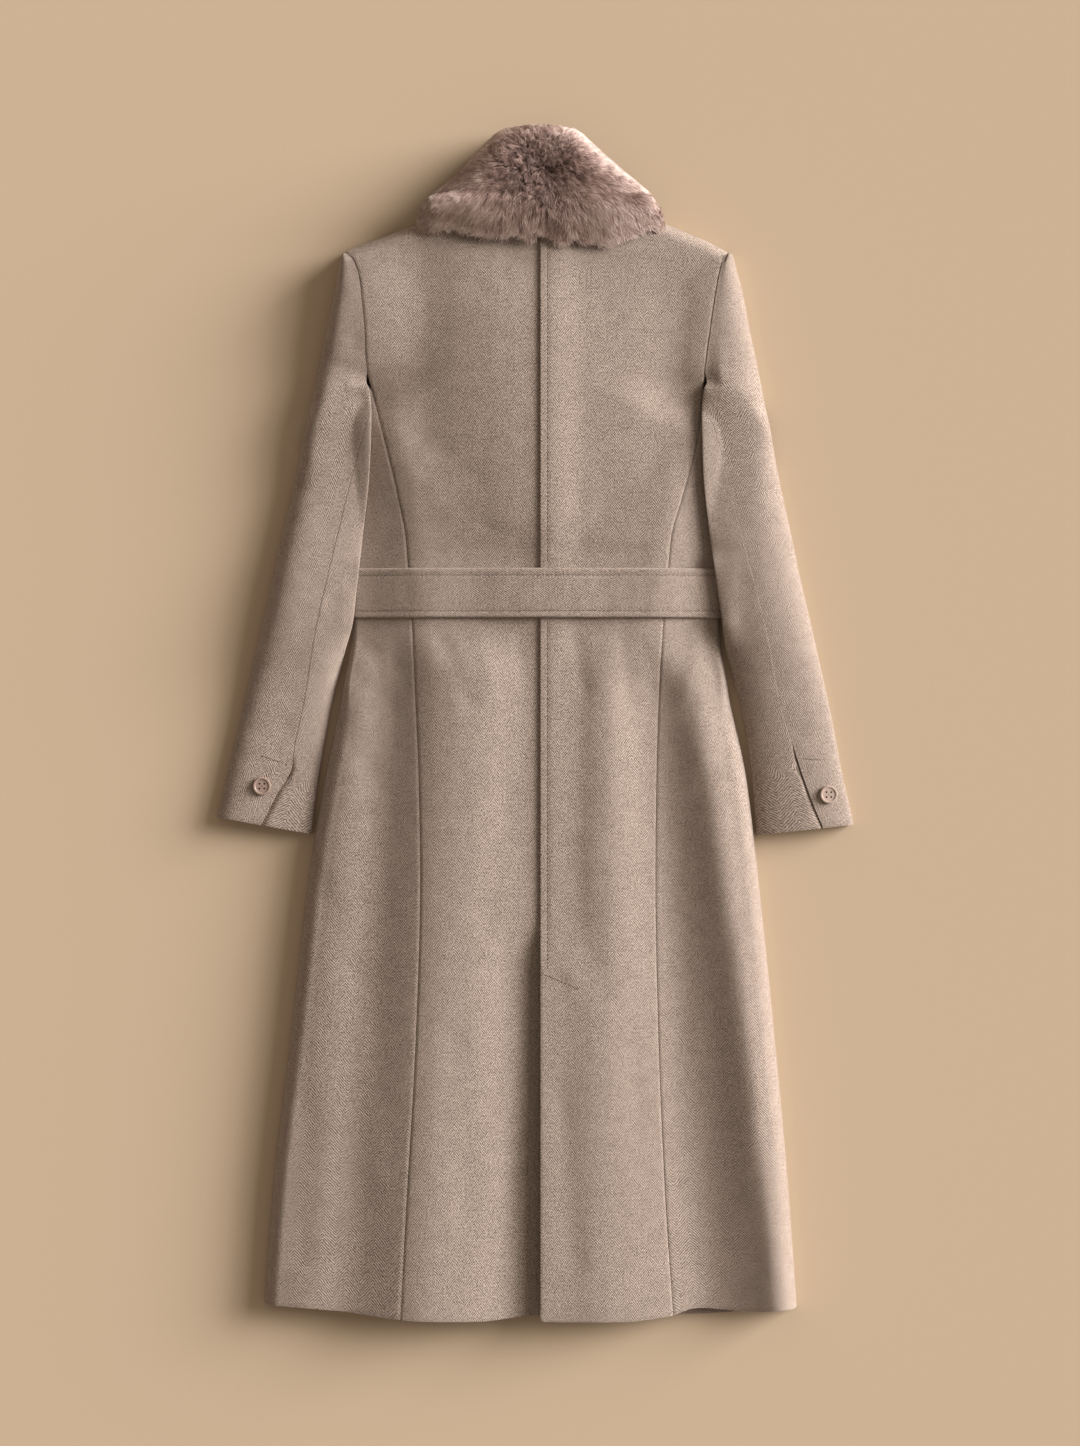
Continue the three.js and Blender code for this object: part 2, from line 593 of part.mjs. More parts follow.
const CAP_ROWS = [492.2, 486.6, 481, ...spread(481, 438, 4).slice(1, -1), ...ARMHOLE_ROWS];
function addSleeve(name, form, cuffY, ventY) {
  const { side, point, width, seamShare, frontSeam } = form;
  const facing = -side;
  const half = GAP / 2;
  const lower = [...UNDERARM_ROWS.slice(1), ...spread(285, ventY + 24, 9)];
  lower.push(ventY + 2, ventY - 12, (ventY - 12 + cuffY) / 2, cuffY);
  const share = (y, distance) => distance / width(y);
  const seamGap = (y) => (y >= 366 ? 0 : share(y, half));

  const topColumns = [0, 0.35, 0.75].map((t) => (y) => [
    mix(frontSeam(y) - share(y, half), share(y, Math.min(SLEEVE.rim, width(y) * 0.4)), t),
    false,
  ]);
  topColumns.unshift((y) => [frontSeam(y) - share(y, half - 1), false]);
  for (const t of [1, 0.5, 0.12]) {
    topColumns.push((y) => [share(y, Math.min(SLEEVE.rim, width(y) * 0.4) * t), false]);
  }
  for (const t of [0, 0.02, 0.08, 0.2, 0.38, 0.6, 0.82, 1]) {
    topColumns.push((y) => [(seamShare(y) - seamGap(y)) * t, true]);
  }
  topColumns.push((y) => [seamShare(y) - seamGap(y) + share(y, 1), true]);
  const stations = [...CAP_ROWS, 351, ...lower];
  const top = topColumns.map((column) => stations.map((y) => point(y, ...column(y))));
  add(`sleeve_top_${name}`, wall(top, CLOTH, facing));

  // Above the cuff vent the under sleeve's edge slips beneath the top sleeve's tab.
  const underEdge = (y) =>
    seamShare(y) + share(y, half) - share(y, CUFF.underlap + 1) * smooth((ventY - y) / 12);
  const underPoint = (y, s, isTop) => {
    const p = point(y, s, isTop);
    const beyond = (s - seamShare(y)) * width(y);
    if (isTop) p.z -= CUFF.drop * smooth((ventY + 26 - y) / 22) * smooth((14 - beyond) / 12);
    return p;
  };
  const underColumns = [0, 0.3, 0.6, 0.84, 0.96, 1].map((t) => (y) => [
    mix(underEdge(y), 1, t),
    true,
  ]);
  underColumns.unshift((y) => [underEdge(y) - share(y, 1), true]);
  for (const t of [0.12, 0.5, 1]) {
    underColumns.push((y) => [1 - share(y, SLEEVE.rim * t), false]);
  }
  for (const t of [0.5, 1]) {
    underColumns.push((y) => [mix(1 - share(y, SLEEVE.rim), frontSeam(y) + share(y, half), t), false]);
  }
  underColumns.push((y) => [frontSeam(y) + share(y, half - 1), false]);
  const under = underColumns.map((column) => lower.map((y) => underPoint(y, ...column(y))));
  add(`sleeve_under_${name}`, wall(under, CLOTH, facing));
}

// Highest that the back stands near a point, so that the collar and belt lie clear of it.
function highNear(x, y, dx, dy) {
  let high = 0;
  for (const px of [x - dx, x, x + dx]) {
    for (const py of [y - dy, y, y + dy]) {
      const inside = Math.min(py, shoulder(px) - 0.5);
      high = Math.max(high, leftBackHeight(px, inside), rightBackHeight(px, inside));
    }
  }
  return high;
}

// The fur collar's fall over the back neck.
function addCollar() {
  const [from, to] = [COLLAR[0].x, COLLAR[COLLAR.length - 1].x];
  const middle = (from + to) / 2;
  const half = (to - from) / 2;
  const outer = [];
  const inner = [];
  spread(from, to, 4 * FUR.locks + 1).forEach((x, k) => {
    const lock = FUR.lockDepth * Math.sin((k / 4) * 2 * Math.PI);
    const [low, high] = [collarBottom(x) + lock, collarTop(x)];
    const across = 1 - Math.abs((x - middle) / half) ** 2.5;
    const column = spread(1, 0, 9).map((q) => {
      const y = mix(low, high, q);
      const past = smooth((y - shoulder(x) - 16) / 14);
      const under = Math.max(mix(highNear(x, y, 6, 7) + 2.6, 0, past), FUR.wingFloor);
      const edge = Math.max(under + FUR.fringe, mix(0, FUR.edge, smooth(q * 1.4)));
      const crown = Math.sqrt(clamp(across)) * Math.sqrt(clamp(4 * q * (1 - q) + 0.06));
      const top = mix(edge, Math.max(FUR.crown, edge), clamp(crown)) + lock * 0.4 * (1 - q);
      return [new THREE.Vector3(x, y, top), new THREE.Vector3(x, y, under)];
    });
    outer.push(column.map((c) => c[0]));
    inner.push(column.map((c) => c[1]));
  });
  add("collar_back", shell(outer, inner), "fur");
}

// The collar's two fronts, on the surface inside the neckline, meeting at the centre front.
function addCollarFront(name, from, to) {
  const outer = [];
  const inner = [];
  for (const x of spread(from, to, 9)) {
    const [low, high] = [neckline(x) + 2.5, collarTop(x) - 3];
    const rows = [1, 0.94, 0.75, 0.5, 0.25, 0.06, 0].map((q) => ({ q, y: mix(low, high, q) }));
    const round = (q) => 2 * smooth((Math.abs(q - 0.5) - 0.4) / 0.1);
    outer.push(rows.map(({ q, y }) => new THREE.Vector3(x, y, WING - round(q))));
    inner.push(rows.map(({ y }) => new THREE.Vector3(x, y, 0)));
  }
  add(name, shell(outer, inner), "fur");
}

// A point of a path moved to the left of a walk along it, with a mitre at a bend.
function offsetFrom(path, k, distance) {
  const p = path[k];
  const arrive = k === 0 ? path[1].clone().sub(p) : p.clone().sub(path[k - 1]);
  const leave = k === path.length - 1 ? arrive.clone() : path[k + 1].clone().sub(p);
  arrive.normalize();
  const along = leave.normalize().add(arrive).normalize();
  const mitre = Math.min(1 / along.dot(arrive), 1.45);
  return new THREE.Vector2(p.x - along.y * distance * mitre, p.y + along.x * distance * mitre);
}

// The belt: along the surface under the fronts, round both sides and over the back, with its two
// ends lapped at the centre front.
function addBelt() {
  const half = BELT.thickness / 2;
  const off = BELT.clearance + half;
  const upper = half + BELT.thickness + 0.4;
  const rows = [BELT_TOP, BELT.y, BELT_BOTTOM];
  const columns = [...LEFT_SIDE.slice(0, -2), ...LEFT_BACK.slice(1, -1)];
  columns.push(() => CENTRE - 4, () => CENTRE - 1, ...RIGHT_LAP.slice(2));
  columns.push(...RIGHT_BACK.slice(0, -1), ...RIGHT_SIDE.slice(0, -2).reverse());
  const paths = rows.map((y) => {
    const [left, right] = [leftSide(y), rightSide(y)];
    const height = (x) =>
      x < CENTRE - 2 ? leftBackHeight(x, y) : rightBackHeight(Math.max(x, CENTRE), y);
    const body = columns.map((xAt) => new THREE.Vector2(xAt(y), height(xAt(y))));
    const under = [new THREE.Vector2(left, 0), ...body, new THREE.Vector2(right, 0)];
    const over = body.map((p, k) => offsetFrom(under, k + 1, off));
    return [
      new THREE.Vector2(BELT.lapTo, half),
      new THREE.Vector2(-60, half),
      new THREE.Vector2(-130, half),
      new THREE.Vector2(left + 1, half),
      new THREE.Vector2(left - off, half),
      ...over,
      new THREE.Vector2(right + off, half),
      new THREE.Vector2(right - 1, half),
      new THREE.Vector2(130, half),
      new THREE.Vector2(BELT.lapTo + 16, half),
      new THREE.Vector2(BELT.lapTo + 4, upper),
      new THREE.Vector2(BELT.lapFrom, upper),
    ];
  });
  const [outer, inner] = [half, -half].map((side) =>
    paths[0].map((_, k) =>
      paths.map((path, r) => {
        const p = offsetFrom(path, k, side);
        return new THREE.Vector3(p.x, rows[r], p.y);
      }),
    ),
  );
  add("belt", shell(outer, inner));
}

// A four-hole button, its flat back at z 0.
const wasm = await Module();
wasm.setup();

function toSolid(geometry) {
  const bare = geometry.clone();
  bare.deleteAttribute("normal");
  bare.deleteAttribute("uv");
  const merged = mergeVertices(bare, 1e-4);
  return new wasm.Manifold(
    new wasm.Mesh({
      numProp: 3,
      vertProperties: merged.attributes.position.array,
      triVerts: new Uint32Array(merged.index.array),
    }),
  );
}

function buttonGeometry() {
  const { radius, thickness, rim: lip, dish, hole, pitch } = BUTTON;
  const profile = [
    [0, 0],
    [radius - 1, 0],
    [radius, 1],
    [radius, thickness - 0.9],
    [radius - 0.7, thickness],
    [radius - lip, thickness],
    [radius - lip - 0.9, thickness - dish],
    [0, thickness - dish],
  ].map(([r, z]) => new THREE.Vector2(r, z));
  const body = new THREE.LatheGeometry(profile, 24).rotateX(Math.PI / 2);
  let solid = toSolid(body);
  if (solid.volume() < 0) throw new Error("the button's profile runs the wrong way");
  for (const [sx, sy] of [[1, 1], [-1, 1], [-1, -1], [1, -1]]) {
    const drill = new THREE.CylinderGeometry(hole, hole, 3 * thickness, 8)
      .rotateX(Math.PI / 2)
      .translate((sx * pitch) / Math.SQRT2, (sy * pitch) / Math.SQRT2, 0);
    solid = solid.subtract(toSolid(drill));
  }
  const cut = solid.getMesh();
  const geometry = new THREE.BufferGeometry();
  geometry.setAttribute("position", new THREE.Float32BufferAttribute(cut.vertProperties, 3));
  geometry.setIndex([...cut.triVerts]);
  geometry.computeVertexNormals();
  return geometry;
}

// Seats a button on the top of a sleeve at a station, square to the cloth.
function addButton(name, form, y, distance) {
  const share = form.shareOf(form.seamX, y) - distance / form.width(y);
  const here = form.point(y, share, true);
  const along = form.point(y - 6, share, true).sub(form.point(y + 6, share, true));
  const across = form.point(y, share + 0.06, true).sub(form.point(y, share - 0.06, true));
  const normal = along.cross(across).multiplyScalar(-form.side).normalize();
  const button = add(name, buttonGeometry(), "button");
  button.quaternion.setFromUnitVectors(new THREE.Vector3(0, 0, 1), normal);
  button.position.copy(here).addScaledVector(normal, BUTTON.seat);
}

addBacks();
addSide("side_left", LEFT_SIDE, 1);
addSide("side_right", RIGHT_SIDE, -1);
addFronts();
const leftSleeve = sleeveForm(SLEEVES.left);
const rightSleeve = sleeveForm(SLEEVES.right);
addSleeve("left", leftSleeve, CUFF.left, CUFF.leftVent);
addSleeve("right", rightSleeve, CUFF.right, CUFF.rightVent);
addCollar();
const wingEdge = NECK.open - 2;
addCollarFront("collar_front_left", CENTRE - wingEdge, CENTRE - 0.4);
addCollarFront("collar_front_right", CENTRE + 0.4, CENTRE + wingEdge);
addBelt();
addButton("button_left", leftSleeve, -59, 19);
addButton("button_right", rightSleeve, -73, 19);

export default coat;
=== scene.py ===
"""Looks of a long belted wool coat with a fur collar that lies face down on a pale floor.

Lengths in the tables are millimetres in the frame's own axes: +X is the right of the back,
+Y points to the collar and +Z up. Each cloth piece is a shell on the form of its solid, with
its creases placed one by one.
"""

import bmesh
import bpy
import numpy as np
from mathutils import Matrix, Vector


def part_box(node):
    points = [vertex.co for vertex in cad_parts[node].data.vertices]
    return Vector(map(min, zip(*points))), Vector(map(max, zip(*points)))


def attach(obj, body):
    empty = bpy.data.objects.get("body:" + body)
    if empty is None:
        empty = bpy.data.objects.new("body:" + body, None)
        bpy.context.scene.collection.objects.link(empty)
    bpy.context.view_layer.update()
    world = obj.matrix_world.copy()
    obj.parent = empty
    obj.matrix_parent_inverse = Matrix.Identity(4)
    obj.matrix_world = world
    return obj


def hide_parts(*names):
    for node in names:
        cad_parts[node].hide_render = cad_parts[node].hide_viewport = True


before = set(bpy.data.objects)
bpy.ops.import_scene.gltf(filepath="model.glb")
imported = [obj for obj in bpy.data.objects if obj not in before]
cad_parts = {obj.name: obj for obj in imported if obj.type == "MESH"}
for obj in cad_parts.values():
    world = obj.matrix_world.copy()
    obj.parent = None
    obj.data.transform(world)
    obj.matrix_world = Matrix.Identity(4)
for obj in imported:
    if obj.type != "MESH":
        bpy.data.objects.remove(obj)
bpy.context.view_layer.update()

bl_info = {
    "name": "Belted Wool Coat",
    "version": (1, 0, 0),
    "blender": (4, 5, 0),
    "location": "3D Viewport > Sidebar > Coat",
    "description": "Builds a laid out wool coat with a belt and a fur collar",
    "category": "Mesh",
}

MM = 0.001


def linear(hex_colour):
    """An sRGB hex value as the linear colour that the shaders take."""
    parts = [int(hex_colour[k : k + 2], 16) / 255 for k in (1, 3, 5)]
    return tuple(c / 12.92 if c <= 0.04045 else ((c + 0.055) / 1.055) ** 2.4 for c in parts)


def table(columns, *rows):
    """Rows of numbers under named columns."""
    return [dict(zip(columns.split(), row)) for row in rows]


# Plan of the body: side edge and princess seam on each side.
BODY = table(
    "y left_side left_seam right_seam right_side",
    (540, -200, -200, 202, 202),
    (497, -200, -200, 202, 202),
    (484, -190, -190, 196, 196),
    (465, -184, -184, 191.5, 191.5),
    (438, -181, -181, 187, 187),
    (410, -178.5, -178.5, 183, 183),
    (380, -177.5, -177.5, 179, 179),
    (366, -176, -176, 177.5, 177.5),
    (351, -187.5, -172.5, 176, 190),
    (336, -200, -168, 174.5, 204),
    (308, -218, -161, 172, 227),
    (238, -206, -144, 154.5, 213.5),
    (195, -199, -136, 142.5, 205),
    (164, -195, -133.5, 139.5, 199.5),
    (108, -192.5, -129.5, 134.5, 194),
    (35, -203.5, -126, 130, 203),
    (-58, -222, -122, 127.3, 222.5),
    (-165, -239.5, -120.3, 126.2, 235),
    (-320, -257, -124.5, 129, 251),
    (-490, -277, -134, 136, 266.5),
    (-640, -288, -142.5, 146, 277),
)

# Height of the back at its centre and beside each edge, and the width of the slope between.
RISE = table(
    "y centre left right left_blend right_blend",
    (540, 31, 31, 28, 70, 90),
    (438, 36, 38, 30, 90, 165),
    (380, 36, 33, 29, 90, 140),
    (336, 35, 18, 19, 80, 115),
    (276, 33, 13, 14, 85, 85),
    (195, 28, 13, 13, 85, 80),
    (164, 27, 13, 13, 85, 80),
    (108, 27, 13, 13, 85, 80),
    (35, 29, 20, 18, 100, 60),
    (-58, 31, 25, 24, 115, 50),
    (-320, 31, 26, 27, 125, 40),
    (-640, 28, 24, 25, 125, 40),
)

# Long folds of the solids: height and half width at both ends of a line.
FOLDS = table(
    "x0 y0 x1 y1 high0 high1 wide0 wide1",
    (-58, 470, -50, 330, 2, 1, 44, 50),
    (-20, 420, -12, 190, 5, 8, 70, 66),
    (-122, 480, -122, 330, -3, -3, 26, 28),
    (146, 430, 138, 300, -2.5, -4, 30, 30),
    (-92, 80, -124, -640, 7, 11, 38, 48),
    (-150, 60, -198, -640, -4, -2, 24, 30),
    (-52, 60, -66, -640, 6, 4, 34, 40),
    (74, 80, 78, -640, 4, 5, 28, 34),
    (128, 20, 190, -640, -10, -14, 34, 48),
    (166, 60, 266, -640, 3, 6, 20, 24),
    (-185, 50, -240, -640, 2, 2, 22, 28),
)

SHOULDER = table(
    "x y",
    (-210, 492),
    (-200, 497),
    (-174, 507),
    (-142, 519.5),
    (-123, 526),
    (-90, 530),
    (5, 527),
    (105, 530),
    (135, 526),
    (152, 519.5),
    (182, 507),
    (202, 496.5),
    (212, 492),
)

HEM = table(
    "x back front",
    (-290, -610, -608),
    (-205, -617, -614),
    (-141, -625, -620),
    (-60, -627, -622),
    (3, -622, -622),
    (7, -627, -622),
    (91, -627.5, -622),
    (139, -623, -623),
    (170, -615, -623),
    (220, -618, -620),
    (280, -615, -613),
)

SLEEVE_FOLDS = {
    "left": table(
        "y outer inner",
        (494.5, -202.5, -196),
        (484, -206.5, -190.6),
        (454.5, -211.5, -182.7),
        (423, -218, -179.6),
        (391.5, -225, -178),
        (360, -231.5, -175.4),
        (326.5, -239, -171.7),
        (265.5, -251.5, -173.8),
        (202.5, -266, -180.6),
        (139.5, -280, -187.6),
        (108, -287, -191),
        (76.5, -294.5, -200),
        (13.5, -309, -216),
        (-54.5, -325, -227.5),
        (-99, -335.5, -233),
        (-125, -341, -235.5),
    ),
    "right": table(
        "y outer inner",
        (494.5, 207, 201),
        (484, 210, 195.8),
        (454.5, 218, 189.5),
        (423, 224, 185.3),
        (391.5, 230.5, 180.6),
        (360, 237, 177.9),
        (326.5, 243.5, 174.1),
        (265.5, 255, 175.5),
        (202.5, 268.5, 182),
        (139.5, 282, 191),
        (108, 289.5, 195.5),
        (76.5, 296.5, 200.5),
        (13.5, 310.5, 217),
        (-54.5, 323.5, 228),
        (-99, 333.5, 231.5),
        (-130, 339, 234),
    ),
}
SLEEVE_SEAM = {
    "left": table(
        "y x",
        (380, -178),
        (314.5, -176.3),
        (290, -183.5),
        (256.5, -193),
        (177, -212.5),
        (92.5, -231.7),
        (23, -243),
        (-30, -254.2),
        (-46, -255.5),
        (-72, -269.7),
        (-111, -290),
        (-130, -300),
    ),
    "right": table(
        "y x",
        (380, 179.5),
        (344, 178),
        (310, 187),
        (269, 198.3),
        (173, 223),
        (87, 245),
        (18, 258),
        (-25, 271),
        (-40, 275.5),
        (-86, 292),
        (-112, 303),
        (-135, 312),
    ),
}
# Height of a sleeve's top over the surface.
SLEEVE_RISE = table(
    "y top",
    (500, 30),
    (378, 31),
    (340, 33),
    (290, 30),
    (238, 28),
    (190, 29),
    (140, 31),
    (96, 29),
    (60, 24),
    (25, 21),
    (-10, 19),
    (-130, 18),
)
# How far each cuff slants, how much a sleeve leans down to its inner fold, and how flat it is.
SLEEVE_SHAPE = {
    "left": {"slant": 18, "lean": 5, "dome": 4, "head": 7},
    "right": {"slant": 11, "lean": 0, "dome": 2.2, "head": 3},
}

# Outline of the fur where it shows: upper edge and lower edge.
COLLAR = table(
    "x top bottom",
    (-124, 536, 526),
    (-114, 550, 528),
    (-86, 572, 527),
    (-60, 599, 519),
    (-30, 623.5, 517),
    (4, 627.5, 517),
    (36, 624, 513),
    (73, 595, 512),
    (98, 574, 519),
    (122, 554, 528),
    (134, 534, 526),
)

# Soft creases of the back, placed one by one: a trough where deep is over 0, else a ridge.
BACK_CREASES = table(
    "x0 y0 x1 y1 deep wide",
    (-150, 470, -60, 455, 0.8, 12),
    (150, 462, 70, 440, 0.7, 11),
    (-120, 300, -60, 255, 0.9, 13),
    (-128, 262, -82, 215, -0.8, 11),
    (-70, 215, -20, 190, 0.8, 9),
    (120, 270, 70, 225, 0.8, 12),
    (118, 228, 60, 190, -0.7, 10),
    (30, 200, 78, 182, 0.7, 8),
    (-110, 178, -40, 184, 0.9, 6),
    (20, 183, 110, 178, 0.8, 6),
    (-100, 92, -66, 20, 1.2, 9),
    (-60, 92, -44, 40, -0.9, 8),
    (-20, 92, -12, 50, 0.8, 7),
    (40, 92, 52, 30, 1.0, 8),
    (92, 92, 96, 10, 1.2, 9),
    (112, 60, 118, -40, -0.9, 9),
    (-30, -80, -52, -210, 1.0, 16),
    (58, -120, 44, -260, -0.9, 15),
    (-86, -330, -70, -520, 1.1, 15),
    (98, -300, 108, -450, 0.9, 12),
    (26, -380, 40, -560, 1.0, 13),
    (-20, -420, -34, -600, 1.3, 12),
)
SIDE_CREASES = table(
    "x0 y0 x1 y1 deep wide",
    (-190, 85, -150, 62, 1.1, 9),
    (-196, 55, -152, 20, 0.9, 10),
    (-165, 92, -150, 40, -0.8, 8),
    (-206, 10, -170, -60, 1.0, 12),
    (-232, -160, -190, -260, 0.9, 15),
    (-180, -330, -168, -480, -1.0, 14),
    (-238, -400, -246, -560, 1.1, 14),
    (-160, 185, -146, 235, 0.7, 9),
    (190, 88, 156, 66, 1.1, 9),
    (196, 52, 160, 12, 0.9, 10),
    (170, 92, 158, 36, -0.8, 8),
    (208, 4, 176, -70, 1.0, 12),
    (226, -150, 196, -250, 0.9, 14),
    (170, -300, 166, -430, -0.8, 12),
    (240, -420, 232, -570, 1.1, 13),
    (162, 185, 152, 238, 0.7, 9),
)
SLEEVE_CREASES = table(
    "x0 y0 x1 y1 deep wide",
    (-206, 452, -190, 400, 0.5, 9),
    (-240, 296, -200, 288, 0.7, 9),
    (-252, 250, -208, 236, 0.5, 10),
    (-262, 196, -206, 214, 0.6, 11),
    (-268, 168, -216, 168, -0.6, 10),
    (-276, 140, -214, 128, 0.7, 10),
    (-282, 96, -226, 104, 0.5, 10),
    (-296, 30, -246, 46, 0.5, 12),
    (-300, -8, -262, -2, 0.7, 7),
    (-304, -26, -268, -22, -0.6, 6),
    (-308, -40, -272, -34, 0.5, 6),
    (210, 452, 194, 400, 0.5, 9),
    (246, 288, 206, 280, 0.7, 9),
    (256, 240, 214, 230, 0.5, 10),
    (266, 190, 216, 206, 0.6, 10),
    (272, 162, 222, 160, -0.6, 9),
    (280, 134, 226, 122, 0.7, 10),
    (286, 88, 236, 98, 0.5, 10),
    (298, 26, 256, 40, 0.5, 11),
    (304, -14, 272, -8, 0.6, 7),
    (310, -36, 280, -30, -0.5, 6),
)
BELT_RIPPLES = table(
    "x0 y0 x1 y1 deep wide",
    (-140, 158, -132, 116, 0.5, 6),
    (-96, 160, -104, 112, -0.4, 8),
    (-52, 160, -48, 114, 0.5, 7),
    (-22, 158, -30, 112, 0.35, 8),
    (40, 160, 34, 114, 0.45, 7),
    (78, 160, 84, 112, -0.45, 8),
    (118, 158, 112, 114, 0.5, 7),
    (156, 160, 160, 112, 0.4, 6),
)


def curve(rows, key, along="y"):
    """A smooth curve through a table's rows that never overshoots them."""
    rows = sorted(rows, key=lambda row: row[along])
    at = np.array([row[along] for row in rows], float)
    value = np.array([row[key] for row in rows], float)
    slope = np.diff(value) / np.diff(at)
    tangent = np.concatenate([slope[:1], np.zeros(len(at) - 2), slope[-1:]])
    a, b = slope[:-1], slope[1:]
    same = a * b > 0
    tangent[1:-1] = np.where(same, 2 * a * b / np.where(same, a + b, 1), 0)

    def place(t):
        t = np.clip(t, at[0], at[-1])
        k = np.clip(np.searchsorted(at, t, side="right") - 1, 0, len(at) - 2)
        span = at[k + 1] - at[k]
        s = (t - at[k]) / span
        s2, s3 = s * s, s * s * s
        return (
            value[k] * (2 * s3 - 3 * s2 + 1)
            + tangent[k] * span * (s3 - 2 * s2 + s)
            + value[k + 1] * (3 * s2 - 2 * s3)
            + tangent[k + 1] * span * (s3 - s2)
        )

    return place


def mix(a, b, t):
    """From a at 0 to b at 1."""
    return a + (b - a) * t


def smooth(t):
    """A soft step from 0 at 0 to 1 at 1."""
    t = np.clip(t, 0, 1)
    return t * t * (3 - 2 * t)


def rim(distance, radius):
    """Quarter-round edge: 0 at the edge and 1 at one radius in."""
    return np.sqrt(np.clip(1 - (1 - np.clip(distance / radius, 0, 1)) ** 2, 0, 1))


left_side = curve(BODY, "left_side")
left_seam = curve(BODY, "left_seam")
right_seam = curve(BODY, "right_seam")
right_side = curve(BODY, "right_side")
rise = {key: curve(RISE, key) for key in RISE[0] if key != "y"}
shoulder = curve(SHOULDER, "y", "x")
back_hem = curve(HEM, "back", "x")
front_hem = curve(HEM, "front", "x")
collar_top = curve(COLLAR, "top", "x")
collar_bottom = curve(COLLAR, "bottom", "x")
sleeve_top = curve(SLEEVE_RISE, "top")

# Driving dimensions, in millimetres
CLOTH = 2.2
GAP = 0.3
CENTRE = 5.0
SHOULDER_RIM = 16.0
SIDE_RIM, WAIST_RIM = 16.0, 7.0
BELT_Y, BELT_WIDTH, BELT_THICK, BELT_CLEAR = 136.5, 52.0, 4.0, 0.8
BELT_LAP_FROM, BELT_LAP_TO = -30.0, 40.0
BELT_STITCH_IN = 7.3
LAP_WIDTH, LAP_RAISE, LAP_SHOULDER = 9.0, 2.9, 9.0
VENT_TOP, VENT_UNDERLAP, VENT_SINK, VENT_RAISE, VENT_REACH = -262.0, 38.0, 7.0, 4.0, 45.0
FRONT_LEFT_EDGE, FRONT_RIGHT_EDGE = 70.0, -55.0
FRONT_STEP = (-77.0, -61.0)
NECK_HALF, NECK_OPEN, NECK_DEPTH = 120.0, 108.0, 72.0
SLEEVE_WIDEST, SLEEVE_EDGE, SLEEVE_RAMP, SLEEVE_CLEAR = 6.0, 6.0, 30.0, 8.0
SLEEVE_THIN, SLEEVE_FRONT_SEAM = 2.6, 0.58
CUFF_Y = {"left": -99.0, "right": -107.0}
CUFF_VENT_Y = {"left": -46.0, "right": -40.0}
CUFF_UNDERLAP, CUFF_DROP = 14.0, 4.0
# Stitched line across each cuff, over the tab of its vent
CUFF_STITCHES = {
    "left": {"x0": -288.5, "y0": -34.3, "x1": -257.0, "y1": -44.6},
    "right": {"x0": 284.0, "y0": -37.8, "x1": 308.0, "y1": -38.8},
}
# Button threads: how far out their ends lie, how high over the button, and their radius
THREAD_REACH, THREAD_OVER, THREAD_RADIUS = 1.27, 0.55, 0.3
FUR_CROWN, FUR_EDGE, FUR_FRINGE, FALL_CLEAR, WING_TOP = 62.0, 24.0, 9.0, 2.6, 14.0
# How far the hide lies under the tips of its hair
HIDE_UNDER, HIDE_IN = 9.0, 6.0
# Where the rows of the backs and the fronts begin and end
BACK_FROM, BACK_TO, HEM_AT = 510.0, -624.0, -612.0
FRONT_FROM, FRONT_TO = 500.0, -620.0
# Rows where a sleeve starts to slant, comes free of the armhole and lies over the side
SLANT_FROM, ARM_FREE, LIFT_FROM, LIFT_TO = 326.0, 366.0, 374.0, 62.0
NECK_LINE = 528.0
TACK_SLOPE = 0.43
STITCH_IN = 8.0


def creases(x, y, rows):
    """Sum of the troughs and ridges of a table: each fades out along and across its line."""
    total = np.zeros(np.broadcast(x, y).shape)
    for c in rows:
        dx, dy = c["x1"] - c["x0"], c["y1"] - c["y0"]
        along = ((x - c["x0"]) * dx + (y - c["y0"]) * dy) / (dx * dx + dy * dy)
        s = np.clip(along, 0, 1)
        off = np.hypot(x - c["x0"] - s * dx, y - c["y0"] - s * dy)
        bend = 0.75 + 0.25 * np.sin(7.0 * s + c["x0"])
        total -= c["deep"] * bend * np.exp(-((off / c["wide"]) ** 2))
    return total


def neckline(x):
    """Upper edge of the fronts, which the neck dips down from the shoulders."""
    inward = 1 - np.abs(x - CENTRE) / NECK_HALF
    low = NECK_LINE - NECK_DEPTH * np.clip(inward, 0, 1) ** 0.8
    return np.where(inward <= 0, shoulder(x), mix(shoulder(x), low, smooth(inward * 6)))


def front_lift(x, y):
    """The fronts rise over the belt that runs under them, and over its lapped ends."""
    along = smooth((BELT_WIDTH / 2 + 34 - np.abs(y - BELT_Y)) / 30)
    lap = smooth((x - BELT_LAP_FROM + 24) / 16) * smooth((BELT_LAP_TO + 30 - x) / 16)
    return along * (BELT_THICK + BELT_CLEAR) * (1 + lap)


def fold_height(x, y):
    """Height that the long folds add to the back, none of it under the belt."""
    total = 0.0
    for f in FOLDS:
        s = np.clip((f["y0"] - y) / (f["y0"] - f["y1"]), 0, 1)
        fade = smooth((f["y0"] + 70 - y) / 70) * smooth((y - f["y1"] + 70) / 70)
        off = (x - mix(f["x0"], f["x1"], s)) / mix(f["wide0"], f["wide1"], s)
        total = total + mix(f["high0"], f["high1"], s) * fade * np.exp(-off * off)
    return total * smooth((np.abs(y - BELT_Y) - BELT_WIDTH / 2) / 60)


def turn_radius(y):
    """Radius that the side of the coat turns down at: wider in the skirt than above it."""
    return mix(SIDE_RIM, WAIST_RIM, smooth((y + 10) / 60))


